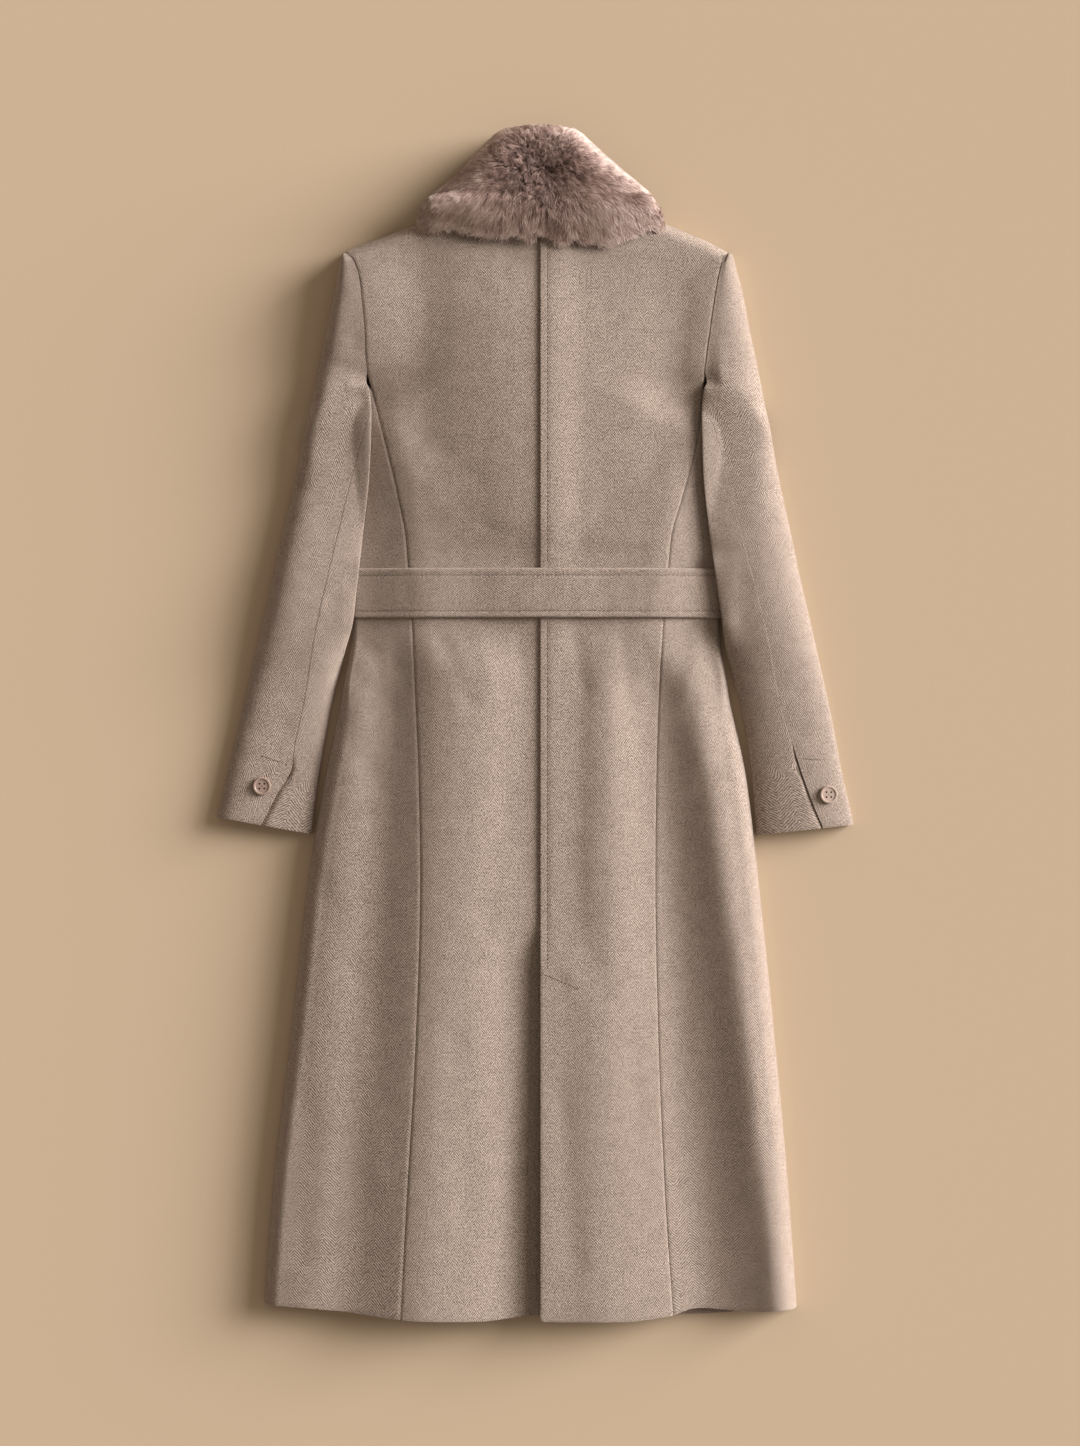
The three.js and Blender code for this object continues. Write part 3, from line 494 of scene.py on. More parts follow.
def back_height(x, y):
    """Height of the back's outer face over the surface."""
    left, right = x - left_side(y), right_side(y) - x
    across = np.where(
        x < CENTRE, smooth(left / rise["left_blend"](y)), smooth(right / rise["right_blend"](y))
    )
    edge = np.minimum(left, right)
    side = np.where(x < CENTRE, rise["left"](y), rise["right"](y))
    flat = mix(side, rise["centre"](y), across) + fold_height(x, y) * smooth(edge / 30)
    foot = CLOTH + 0.5 + front_lift(x, y)
    side_rim = mix(1, rim(edge, turn_radius(y)), smooth((325 - y) / 25))
    neck = smooth((NECK_OPEN + 14 - np.abs(x - CENTRE)) / 14)
    top_rim = mix(rim(shoulder(x) - y, SHOULDER_RIM), 1, neck)
    return foot + (flat - foot) * side_rim * top_rim


def lap_width(y):
    """How far the left back reaches under the right one: more in the vent."""
    return mix(LAP_WIDTH, VENT_UNDERLAP, smooth((VENT_TOP + 12 - y) / 12))


def vent_dip(x, y):
    """How open the vent is at a point: 0 above it, and most on its line near the hem."""
    share = smooth((VENT_TOP + 60 - y) / 60) * mix(0.75, 1, smooth((VENT_TOP - y) / 300))
    return share * np.exp(-(((x - CENTRE) / VENT_REACH) ** 2))


def left_back_height(x, y):
    return back_height(x, y) - VENT_SINK * vent_dip(x, y)


def lap_shoulder(y):
    """How softly the right back comes down past its lap."""
    return mix(36.0, 46.0, smooth((VENT_TOP + 20 - y) / 60))


def right_back_height(x, y):
    under = mix(LAP_WIDTH, VENT_UNDERLAP, smooth((VENT_TOP + 60 - y) / 120))
    inside = under + 2 + lap_shoulder(y) - (x - CENTRE)
    lap = LAP_RAISE * smooth(inside / lap_shoulder(y))
    return back_height(x, y) + lap + VENT_RAISE * vent_dip(x, y)


def groove(distance, deep=0.7, wide=1.6):
    """The dip beside a seam or along a row of stitches."""
    return -deep * np.exp(-((distance / wide) ** 2))


def eased(count, ease=0.8):
    """Shares from 0 to 1 that lie closer together at both ends."""
    t = np.linspace(0, 1, count)
    return t - ease * np.sin(2 * np.pi * t) / (2 * np.pi)


def round_steps(radius, count):
    """Distances in from a rounded edge, evenly spread round its quarter circle."""
    return radius * (1 - np.cos(np.linspace(0, np.pi / 2, count)))


# Mesh helpers


def new_object(name, bm, material):
    """Turns a bmesh into a smooth object that lies at the origin with one material."""
    mesh = bpy.data.meshes.new(name)
    bm.to_mesh(mesh)
    bm.free()
    mesh.materials.append(material)
    mesh.polygons.foreach_set("use_smooth", [True] * len(mesh.polygons))
    obj = bpy.data.objects.new(name, mesh)
    bpy.context.scene.collection.objects.link(obj)
    return obj


def grid_bmesh(points, uv, flip=False):
    """A grid moved on to rows and columns of points, with its UV in metres of cloth."""
    rows, columns = points.shape[:2]
    bm = bmesh.new()
    bmesh.ops.create_grid(bm, x_segments=columns - 1, y_segments=rows - 1, size=0.5)
    bm.verts.ensure_lookup_table()
    start = np.array([v.co for v in bm.verts])
    column = np.rint((start[:, 0] + 0.5) * (columns - 1)).astype(int)
    row = np.rint((start[:, 1] + 0.5) * (rows - 1)).astype(int)
    layer = bm.loops.layers.uv.new("UVMap")
    for vert, i, j in zip(bm.verts, row, column):
        vert.co = Vector(points[i, j] * MM)
        for loop in vert.link_loops:
            loop[layer].uv = uv[i, j] * MM
    if flip:
        bmesh.ops.reverse_faces(bm, faces=bm.faces)
    return bm


def walked(line):
    """Distance from the start of a line to each of its points."""
    return np.concatenate([[0], np.cumsum(np.linalg.norm(np.diff(line, axis=0), axis=1))])


def cloth_uv(points, grain_from=0.0):
    """Distance across and along the cloth, measured on its middle row and column."""
    uv = np.zeros(points.shape[:2] + (2,))
    uv[..., 0] = walked(points[points.shape[0] // 2])[None, :]
    uv[..., 1] = grain_from - walked(points[:, points.shape[1] // 2])[:, None]
    return uv


def belongs(obj, node=None):
    """Gives a piece its body and, where it has one, hides its CAD node."""
    if node:
        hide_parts(node)
    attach(obj, "root")


def cloth_piece(name, node, points, uv=None, flip=False):
    """One cut of cloth: a smooth shell on its solid's form, that stands for the CAD node."""
    uv = cloth_uv(points) if uv is None else uv
    obj = new_object(name, grid_bmesh(points, uv, flip), wool())
    shell = obj.modifiers.new("cloth thickness", "SOLIDIFY")
    shell.thickness = CLOTH * MM
    shell.offset = -1
    shell.use_even_offset = False
    turned_edge(obj)
    belongs(obj, node)


def turned_edge(obj):
    """The turned and pressed edge of a thick cloth is round, not cut square."""
    bevel = obj.modifiers.new("turned edge", "BEVEL")
    bevel.width = 0.7 * MM
    bevel.segments = 2
    bevel.limit_method = "ANGLE"
    bevel.angle_limit = 1.0
    bevel.use_clamp_overlap = True


def closed_piece(name, points, uv, material):
    """A ring of points closed over its ends, as an object whose faces point outwards."""
    bm = grid_bmesh(points, uv)
    bmesh.ops.remove_doubles(bm, verts=bm.verts, dist=1e-6)
    bmesh.ops.holes_fill(bm, edges=[e for e in bm.edges if e.is_boundary], sides=0)
    bmesh.ops.recalc_face_normals(bm, faces=bm.faces)
    return new_object(name, bm, material)


# Materials


def add_node(tree, kind, settings=None, links=None):
    """Adds one node, with its settings and with links or values on its inputs."""
    node = tree.nodes.new(kind)
    for key, value in (settings or {}).items():
        setattr(node, key, value)
    for key, value in (links or {}).items():
        socket = node.inputs[key]
        if isinstance(value, bpy.types.NodeSocket):
            tree.links.new(value, socket)
        else:
            socket.default_value = value
    return node


def new_material(name, values):
    """A material with one shader, which starts from typical values for the real material."""
    material = bpy.data.materials.new(name)
    material.use_nodes = True
    tree = material.node_tree
    tree.nodes.clear()
    shader = add_node(tree, "ShaderNodeBsdfPrincipled", None, values)
    output = add_node(tree, "ShaderNodeOutputMaterial")
    tree.links.new(shader.outputs["BSDF"], output.inputs["Surface"])
    return material, tree, shader


def mottled(name, values, colours, kind, settings, scale):
    """A material whose colour runs between two, by a texture on the piece's own place."""
    material, tree, shader = new_material(name, values)
    place = add_node(tree, "ShaderNodeTexCoord")
    texture = add_node(tree, kind, settings, {"Vector": place.outputs["Object"], **scale})
    blend = add_node(
        tree, "ShaderNodeMix", {"data_type": "RGBA"},
        {"Factor": texture.outputs["Fac"], "A": (*colours[0], 1), "B": (*colours[1], 1)},
    )
    tree.links.new(blend.outputs["Result"], shader.inputs["Base Color"])
    return material, tree, shader, texture


def herringbone_wool(name, light, dark, fleck):
    """Brushed wool blend coating in a melange herringbone: it reads as a soft heathered taupe,
    with short light and dark dashes that slant both ways and a faint nap at glancing angles."""
    material, tree, shader = new_material(
        name,
        {"Roughness": 0.92, "Specular IOR Level": 0.18, "Sheen Weight": 0.30,
         "Sheen Roughness": 0.5, "Sheen Tint": (*linear("#E8DCD2"), 1)},
    )
    column_width = 10.5 * MM
    dash_period = 3.0 * MM  # the real twill is finer; this is as fine as the render shows
    place = add_node(tree, "ShaderNodeUVMap", {"uv_map": "UVMap"})
    wobble = add_node(
        tree, "ShaderNodeTexNoise", {"noise_dimensions": "3D"},
        {"Vector": place.outputs["UV"], "Scale": 1 / (6 * MM), "Detail": 2.0},
    )
    shake = add_node(
        tree, "ShaderNodeVectorMath", {"operation": "MULTIPLY_ADD"},
        {0: wobble.outputs["Color"], 1: (0.0026, 0.0026, 0.0), 2: place.outputs["UV"]},
    )
    split = add_node(tree, "ShaderNodeSeparateXYZ", None, {0: shake.outputs["Vector"]})
    zigzag = add_node(
        tree, "ShaderNodeMath", {"operation": "PINGPONG"}, {0: split.outputs["X"], 1: column_width}
    )
    slant = add_node(
        tree, "ShaderNodeMath", {"operation": "MULTIPLY_ADD"},
        {0: zigzag.outputs["Value"], 1: 1.35, 2: split.outputs["Y"]},
    )
    turn = add_node(
        tree, "ShaderNodeMath", {"operation": "MULTIPLY"},
        {0: slant.outputs["Value"], 1: 2 * np.pi / dash_period},
    )
    wave = add_node(tree, "ShaderNodeMath", {"operation": "SINE"}, {0: turn.outputs["Value"]})
    yarn = add_node(
        tree, "ShaderNodeTexNoise", None,
        {"Vector": place.outputs["UV"], "Scale": 1 / (2.4 * MM), "Detail": 4.0, "Roughness": 0.85},
    )
    heather = add_node(
        tree, "ShaderNodeTexNoise", None,
        {"Vector": place.outputs["UV"], "Scale": 1 / (16 * MM), "Detail": 4.0, "Roughness": 0.65},
    )
    dash = add_node(
        tree, "ShaderNodeMath", {"operation": "MULTIPLY_ADD"},
        {0: wave.outputs["Value"], 1: 0.13, 2: yarn.outputs["Fac"]},
    )
    tone = add_node(
        tree, "ShaderNodeMath", {"operation": "MULTIPLY_ADD"},
        {0: heather.outputs["Fac"], 1: 0.16, 2: dash.outputs["Value"]},
    )
    spread = add_node(
        tree, "ShaderNodeMapRange", None,
        {"Value": tone.outputs["Value"], "From Min": 0.40, "From Max": 0.76},
    )
    melange = add_node(
        tree, "ShaderNodeMix", {"data_type": "RGBA"},
        {"Factor": spread.outputs["Result"], "A": (*linear(dark), 1), "B": (*linear(light), 1)},
    )
    specks = add_node(
        tree, "ShaderNodeTexVoronoi", None,
        {"Vector": place.outputs["UV"], "Scale": 1 / (7 * MM), "Randomness": 1.0},
    )
    speck = add_node(
        tree, "ShaderNodeMapRange", None,
        {"Value": specks.outputs["Distance"], "From Min": 0.06, "From Max": 0.13, "To Min": 0.55,
         "To Max": 0.0},
    )
    flecked = add_node(
        tree, "ShaderNodeMix", {"data_type": "RGBA"},
        {"Factor": speck.outputs["Result"], "A": melange.outputs["Result"],
         "B": (*linear(fleck), 1)},
    )
    height = add_node(
        tree, "ShaderNodeMath", {"operation": "MULTIPLY_ADD"},
        {0: wave.outputs["Value"], 1: 0.2, 2: yarn.outputs["Fac"]},
    )
    bump = add_node(
        tree, "ShaderNodeBump", None,
        {"Height": height.outputs["Value"], "Strength": 0.7, "Distance": 0.6 * MM},
    )
    tree.links.new(flecked.outputs["Result"], shader.inputs["Base Color"])
    tree.links.new(bump.outputs["Normal"], shader.inputs["Normal"])
    return material


def dyed_fur(name, tip, root, pale):
    """Dyed fox fur: long fine hair in a dusty taupe that is dark at the skin and turns paler and
    rosier to its tips, with a soft light along each strand."""
    material, tree, shader = new_material(
        name,
        {"Roughness": 0.5, "Specular IOR Level": 0.25, "Sheen Weight": 0.3,
         "Sheen Tint": (*linear("#E6CFC4"), 1)},
    )
    strand = add_node(tree, "ShaderNodeUVMap", {"uv_map": "UVMap"})
    split = add_node(tree, "ShaderNodeSeparateXYZ", None, {0: strand.outputs["UV"]})
    gain = add_node(
        tree, "ShaderNodeMath", {"operation": "MULTIPLY_ADD"},
        {0: split.outputs["X"], 1: 0.85, 2: 0.22},
    )
    reach = add_node(
        tree, "ShaderNodeMath", {"operation": "MULTIPLY_ADD"},
        {0: split.outputs["Y"], 1: 0.75, 2: 0.25},
    )
    level = add_node(
        tree, "ShaderNodeMath", {"operation": "MULTIPLY"},
        {0: gain.outputs["Value"], 1: reach.outputs["Value"]},
    )
    ramp = add_node(tree, "ShaderNodeValToRGB", None, {"Fac": level.outputs["Value"]})
    stops = ramp.color_ramp.elements
    stops[0].position, stops[0].color = 0.08, (*linear(root), 1)
    stops[1].position, stops[1].color = 0.95, (*linear(pale), 1)
    middle = stops.new(0.5)
    middle.color = (*linear(tip), 1)
    tree.links.new(ramp.outputs["Color"], shader.inputs["Base Color"])
    return material


def fur_skin(name, colour, shade):
    """The hide under the hair: matt and dark, seen only where the locks part."""
    material, tree, shader, noise = mottled(
        name, {"Roughness": 1.0}, (linear(colour), linear(shade)),
        "ShaderNodeTexNoise", None, {"Scale": 1 / (9 * MM), "Detail": 4.0},
    )
    bump = add_node(
        tree, "ShaderNodeBump", None,
        {"Height": noise.outputs["Fac"], "Strength": 0.8, "Distance": 2 * MM},
    )
    tree.links.new(bump.outputs["Normal"], shader.inputs["Normal"])
    return material


def cast_resin(name, colour, shade):
    """Cast polyester button: a satin taupe with faint cloudy swirls and a soft highlight."""
    return mottled(
        name, {"Roughness": 0.38, "IOR": 1.52, "Coat Weight": 0.15},
        (linear(colour), linear(shade)),
        "ShaderNodeTexNoise", None, {"Scale": 1 / (5 * MM), "Detail": 3.0, "Distortion": 2.5},
    )[0]


def polyester_thread(name, colour, shade):
    """Twisted polyester thread, a shade darker than the cloth, with a faint shine."""
    return mottled(
        name, {"Roughness": 0.6}, (linear(colour), linear(shade)), "ShaderNodeTexWave",
        {"wave_type": "BANDS", "bands_direction": "DIAGONAL"}, {"Scale": 1 / (0.9 * MM)},
    )[0]


def matt_paper(name, colour):
    """Seamless background paper: flat, pale and matt, with a barely visible tooth."""
    pair = [[c * tooth for c in linear(colour)] for tooth in (0.985, 1.015)]
    return mottled(
        name, {"Roughness": 1.0, "Specular IOR Level": 0.0}, pair,
        "ShaderNodeTexNoise", None, {"Scale": 1 / (3 * MM), "Detail": 2.0},
    )[0]


# Settings


class CoatColours(bpy.types.PropertyGroup):
    """Colours of the coat's cloth, fur, buttons and background."""

    light: bpy.props.StringProperty(
        name="Light yarn", description="sRGB hex of the light yarn", default="#C4B1A4"
    )
    dark: bpy.props.StringProperty(
        name="Dark yarn", description="sRGB hex of the dark yarn", default="#625348"
    )
    fleck: bpy.props.StringProperty(
        name="Fleck", description="sRGB hex of the dark flecks", default="#5C4A3F"
    )
    fur_tip: bpy.props.StringProperty(
        name="Fur tip", description="sRGB hex at the tips of the fur", default="#B3948A"
    )
    fur_root: bpy.props.StringProperty(
        name="Fur root", description="sRGB hex at the roots of the fur", default="#4E382F"
    )
    fur_pale: bpy.props.StringProperty(
        name="Pale hair", description="sRGB hex of the palest hairs", default="#E6D2C6"
    )
    button: bpy.props.StringProperty(
        name="Button", description="sRGB hex of the cuff buttons", default="#A58D80"
    )
    floor: bpy.props.StringProperty(
        name="Floor", description="sRGB hex of the floor", default="#CDB69B"
    )


class CoatSizes(bpy.types.PropertyGroup):
    """Sizes that set how finely the cloth and its sewing are made."""

    mesh_step: bpy.props.FloatProperty(
        name="Mesh step", description="Distance between the rows of a cloth piece",
        default=0.0052, min=0.001, max=0.02, unit="LENGTH",
    )
    stitch: bpy.props.FloatProperty(
        name="Stitch length", description="Length of one topstitch", default=0.0036,
        min=0.001, max=0.01, unit="LENGTH",
    )
    thread: bpy.props.FloatProperty(
        name="Thread", description="Thickness of the topstitching thread", default=0.0006,
        min=0.0001, max=0.002, unit="LENGTH",
    )


class FurSettings(bpy.types.PropertyGroup):
    """How the collar's hair is grown."""

    strands: bpy.props.IntProperty(
        name="Strands", description="Number of hairs in each layer of the fall", default=16500,
        min=100, max=30000,
    )
    width: bpy.props.FloatProperty(
        name="Hair width", description="Width of a hair at its root", default=0.00074,
        min=0.0001, max=0.003, unit="LENGTH",
    )
    seed: bpy.props.IntProperty(
        name="Seed", description="Seed of the locks' places", default=7, min=0
    )


class StageSettings(bpy.types.PropertyGroup):
    """Camera height and strength of the lights."""

    camera_height: bpy.props.FloatProperty(
        name="Camera height", description="Height of the camera over the floor", default=4.0,
        min=1.0, max=20.0, unit="LENGTH",
    )
    key: bpy.props.FloatProperty(
        name="Key light", description="Strength of the main light", default=3.4, min=0.0,
    )
    key_height: bpy.props.FloatProperty(
        name="Key height", description="Angle of the main light over the floor",
        default=0.39, min=0.1, max=1.57, subtype="ANGLE",
    )
    key_turn: bpy.props.FloatProperty(
        name="Key turn", description="Direction of the main light from the right of the coat",
        default=0.36, min=-3.14, max=3.14, subtype="ANGLE",
    )
    softness: bpy.props.FloatProperty(
        name="Softness", description="Width of the main light as seen from the coat",
        default=0.66, min=0.01, max=3.0, subtype="ANGLE",
    )
    side: bpy.props.FloatProperty(
        name="Side light", description="Strength of the wide low light beside the main one",
        default=5.2, min=0.0,
    )
    side_height: bpy.props.FloatProperty(
        name="Side height", description="Angle of the side light over the floor",
        default=0.17, min=0.05, max=1.57, subtype="ANGLE",
    )
    side_softness: bpy.props.FloatProperty(
        name="Side softness", description="Width of the side light as seen from the coat",
        default=0.60, min=0.01, max=3.0, subtype="ANGLE",
    )
    fill: bpy.props.FloatProperty(
        name="Fill", description="Strength of the even light all round", default=0.30, min=0.0,
    )


def colours():
    return bpy.context.scene.coat_colours


def sizes():
    return bpy.context.scene.coat_sizes


def wool():
    """The coating, made once and shared by all its pieces."""
    found = bpy.data.materials.get("herringbone wool coating")
    if found:
        return found
    c = colours()
    return herringbone_wool("herringbone wool coating", c.light, c.dark, c.fleck)


def rows_between(top, bottom):
    """Rows from one height down to another at the mesh step."""
    count = max(3, int(abs(top - bottom) / (sizes().mesh_step / MM)) + 1)
    return np.linspace(top, bottom, count)


# Body


def back_points(xs_at, height_at, hem_at):
    """Points of a centre back: the rim of the shoulder, then even rows down to the hem."""
    x_top, x_low = xs_at(np.array([BACK_FROM]))[0], xs_at(np.array([HEM_AT]))[0]
    top, bottom = shoulder(x_top), hem_at(x_low)
    start = BACK_FROM - SHOULDER_RIM
    base = rows_between(start, BACK_TO)[1:]
    share = (start - base) / (start - BACK_TO)
    upper = top[None, :] - round_steps(SHOULDER_RIM, 8)[:, None]
    lower = mix(top[None, :] - SHOULDER_RIM, bottom[None, :], share[:, None])
    y = np.concatenate([upper, lower])
    x = xs_at(y)
    return np.stack([x, y, height_at(x, y)], axis=2)


class COAT_OT_centre_backs(bpy.types.Operator):
    """Makes the two centre backs, the right lapped over the left, with the back vent"""

    bl_idname = "coat.centre_backs"
    bl_label = "Centre Backs"

    def execute(self, context):
        def left_x(y):
            y = np.broadcast_to(y[:, None], (len(y), 54)) if y.ndim == 1 else y
            inside = mix(left_seam(y[:, :46]) + GAP / 2, CENTRE - GAP / 2, eased(46)[None, :])
            lap = CENTRE + lap_width(y[:, 46:]) * np.linspace(0.12, 1, 8)[None, :]
            return np.concatenate([inside, lap], axis=1)

        def left_z(x, y):
            seam = groove(x - left_seam(y))
            return left_back_height(x, y) + creases(x, y, BACK_CREASES) + seam

        def left_hem(x):
            return np.where(x > CENTRE, back_hem(CENTRE - 2), back_hem(x))

        points = back_points(left_x, left_z, left_hem)
        uv = np.stack([points[..., 0], points[..., 1]], axis=2)
        cloth_piece("cloth-back-left", "back_left", points, uv, flip=True)

        def right_x(y):
            y = np.broadcast_to(y[:, None], (len(y), 55)) if y.ndim == 1 else y
            start = CENTRE + lap_width(y) + 2 + LAP_SHOULDER
            lap = np.linspace(0, 1, 16)[None, :-1]
            lap = CENTRE + GAP / 2 + (start[:, :15] - CENTRE) * lap
            rest = mix(start[:, 15:], right_seam(y[:, 15:]) - GAP / 2, eased(40)[None, :])
            return np.concatenate([lap, rest], axis=1)

        def right_z(x, y):
            seam = groove(x - right_seam(y))
            stitched = groove(x - CENTRE - STITCH_IN, 0.25, 1.3) * smooth((y - VENT_TOP) / 6)
            slant = (x - CENTRE) * TACK_SLOPE + (y - VENT_TOP - 1)
            tack = groove(slant * 0.92, 0.3, 1.3) * smooth((CENTRE + 45 - x) / 4)
            soft = creases(x, y, BACK_CREASES)
            return right_back_height(x, y) + soft + seam + stitched + tack

        points = back_points(right_x, right_z, back_hem)
        uv = np.stack([points[..., 0] + 3.0, points[..., 1] + 2.0], axis=2)
        cloth_piece("cloth-back-right", "back_right", points, uv, flip=True)
        return {"FINISHED"}


class COAT_OT_side_backs(bpy.types.Operator):
    """Makes the two side backs, from the princess seam round the side to the surface"""

    bl_idname = "coat.side_backs"
    bl_label = "Side Backs"

    def execute(self, context):
        for name, side_at, seam_at, facing in (
            ("left", left_side, left_seam, 1),
            ("right", right_side, right_seam, -1),
        ):
            rounds = round_steps(1.0, 12)
            shares = eased(30, 0.7)[1:]
            low = side_at(HEM_AT) + facing * 30
            y = np.concatenate([np.linspace(351, 307, 16)[:-1], rows_between(307, back_hem(low))])
            width = np.abs(seam_at(y) - side_at(y)) - GAP / 2
            rounded = np.minimum(turn_radius(y), width * 0.5)
            inward = np.concatenate(
                [rounded[:, None] * rounds[None, :],
                 mix(rounded[:, None], width[:, None], shares[None, :])], axis=1,
            )
            x = side_at(y)[:, None] + facing * inward
            hem = back_hem(x)
            y = np.broadcast_to(y[:, None], x.shape)
            pull = smooth((-540 - y) / 85)
            y = y + (hem - y[-1:, :]) * pull
            z = back_height(x, y) + creases(x, y, SIDE_CREASES) * smooth(inward / 14)
            z = z + groove(x - seam_at(y))
            points = np.stack([x, y, z], axis=2)
            cloth_piece(f"cloth-side-{name}", f"side_{name}", points, cloth_uv(points, 300),
                        flip=facing > 0)
        return {"FINISHED"}


class COAT_OT_fronts(bpy.types.Operator):
    """Makes the two fronts, flat on the surface and lapped at the centre front"""

    bl_idname = "coat.fronts"
    bl_label = "Fronts"

    def execute(self, context):
        low, high = FRONT_STEP
        for name, side_at, edge, facing in (
            ("left", left_side, FRONT_LEFT_EDGE, 1),
            ("right", right_side, FRONT_RIGHT_EDGE, -1),
        ):
            shares = np.linspace(0, 1, 72)
            base = rows_between(FRONT_FROM, FRONT_TO)
            x_top = mix(side_at(505.0), edge, shares)
            x_low = mix(side_at(HEM_AT), edge, shares)
            top, bottom = neckline(x_top) - 1, front_hem(x_low)
            share = (FRONT_FROM - base) / (FRONT_FROM - FRONT_TO)
            y = mix(top[None, :], bottom[None, :], share[:, None])
            x = mix(side_at(y), edge, shares[None, :])
            lift = front_lift(x, y)
            if facing > 0:
                lift = lift + (CLOTH + 0.5) * smooth((x - low) / (high - low))
            points = np.stack([x, y, lift + CLOTH], axis=2)
            cloth_piece(f"cloth-front-{name}", f"front_{name}", points,
                        np.stack([x, y], axis=2), flip=facing > 0)
        return {"FINISHED"}


# Sleeves


class SleeveForm:
    """A flattened tube: a point by its station, its share from the outer to the inner fold, and
    whether it lies on the top or the underside."""

    def __init__(self, name):
        self.name = name
        self.side = -1 if name == "left" else 1
        self.outer = curve(SLEEVE_FOLDS[name], "outer")
        self.own_inner = curve(SLEEVE_FOLDS[name], "inner")
        self.seam_x = curve(SLEEVE_SEAM[name], "x")
        self.armhole = left_side if name == "left" else right_side
        self.shape = SLEEVE_SHAPE[name]

    def slant(self, y):
        return self.shape["slant"] * smooth((SLANT_FROM - y) / 150)

    def inner_at(self, y):
        y = y - self.slant(y)
        return mix(self.armhole(y) + self.side * GAP, self.own_inner(y), smooth((ARM_FREE - y) / 15))

    def width(self, y):
        return np.abs(self.inner_at(y) - self.outer(y))

    def plan(self, y, s):
        return mix(self.outer(y), self.inner_at(y), s), y - self.slant(y) * s

    def carried(self, x, y):
        """Height of the highest cloth and belt near a point under the sleeve."""
        high = np.zeros(np.shape(x))
        for dx in (-4, 0, 4):
            for dy in (-4, 0, 4):
                edge = self.armhole(y + dy) - self.side * turn_radius(y + dy)
                at = np.maximum(x + dx, edge) if self.side < 0 else np.minimum(x + dx, edge)
                high = np.maximum(high, back_height(at, y + dy))
        belt = BELT_THICK + BELT_CLEAR + 0.6
        return high + 0.9 + belt * smooth((BELT_WIDTH / 2 + 20 - np.abs(y - BELT_Y)) / 14)

    def lift(self, x, y):
        """Height that the sleeve's underside lies at, where it crosses the side."""
        past = self.side * (self.armhole(y) + self.side * SLEEVE_CLEAR - x)
        gate = smooth((LIFT_FROM - y) / 26) * smooth((y - LIFT_TO) / 36)
        return gate * self.carried(x, y) * smooth((past + SLEEVE_RAMP) / SLEEVE_RAMP)

    def top(self, y, share):
        s = np.clip(share, 0, 1)
        x, py = self.plan(y, share)
        closed = smooth((ARM_FREE - y) / 30)
        dome = np.sqrt(np.clip(1 - np.abs(2 * s - 1) ** self.shape["dome"], 0, 1))
        head = np.sqrt(np.clip(1 - (1 - s) ** self.shape["head"], 0, 1))
        base = self.lift(x, py)
        at_seam = back_height(self.armhole(py), py)
        level = sleeve_top(y) + self.shape["lean"] * (0.5 - s)
        closed_top = np.maximum(level - SLEEVE_WIDEST - base, SLEEVE_THIN) * dome
        away = np.maximum(level - at_seam, 0) * (1 - smooth((s - 0.7) / 0.3))
        open_top = np.maximum(at_seam + away - SLEEVE_WIDEST - base, SLEEVE_THIN) * head
        soft = creases(x, py, SLEEVE_CREASES) * smooth(np.minimum(s, 1 - s) * 8)
        high = base + SLEEVE_WIDEST + mix(open_top, closed_top, closed)
        return np.stack([x, py, high + soft], 2)

    def under(self, y, share):
        s = np.clip(share, 0, 1)
        x, py = self.plan(y, share)
        inside = np.where(y < 360, np.minimum(s, 1 - s), s) * self.width(y)
        low = SLEEVE_WIDEST * (1 - rim(inside, SLEEVE_EDGE))
        return np.stack([x, py, self.lift(x, py) + low], 2)

    def share_of(self, x_of, y):
        """Share across the sleeve where a line of plan points crosses its stations."""
        s = np.full(np.shape(y), 0.5)
        for _ in range(16):
            x, py = self.plan(y, s)
            s = np.clip(s + (x_of(py) - x) / (self.inner_at(y) - self.outer(y)) * 0.8, 0, 1)
        return s

    def seam_share(self, y):
        own = np.minimum(self.share_of(self.seam_x, y), 1 - 2 / self.width(y))
        return mix(own, 1.0, smooth((y - 312) / 22))

    def front_seam(self, y):
        own = mix(1, SLEEVE_FRONT_SEAM, smooth((380 - y) / 50))
        arm = self.armhole(y) + self.side * GAP - self.outer(y)
        arm = arm / (self.inner_at(y) - self.outer(y))
        return np.where(y > 330, np.minimum(own, arm), own)


def sleeve_top_points(form):
    """The top sleeve, from the front seam under the arm round the outer fold to the back seam."""
    y = rows_between(492.2, CUFF_Y[form.name])[:, None]
    half = GAP / 2 / form.width(y)
    edge = np.minimum(SLEEVE_EDGE, form.width(y) * 0.4) / form.width(y)
    seam = form.seam_share(y) - half * smooth((334 - y) / 22)
    below = mix(form.front_seam(y) - half, edge, np.linspace(0, 1, 14)[None, :])
    turn = edge * (1 - np.sin(np.linspace(0, np.pi / 2, 7)[None, 1:-1]))
    lower = form.under(np.broadcast_to(y, (len(y), 19)), np.concatenate([below, turn], axis=1))
    over = (1 - np.cos(np.pi * np.linspace(0, 1, 46)[None, :])) / 2
    upper = form.top(np.broadcast_to(y, (len(y), 46)), seam * over)
    return np.concatenate([lower, upper], axis=1)


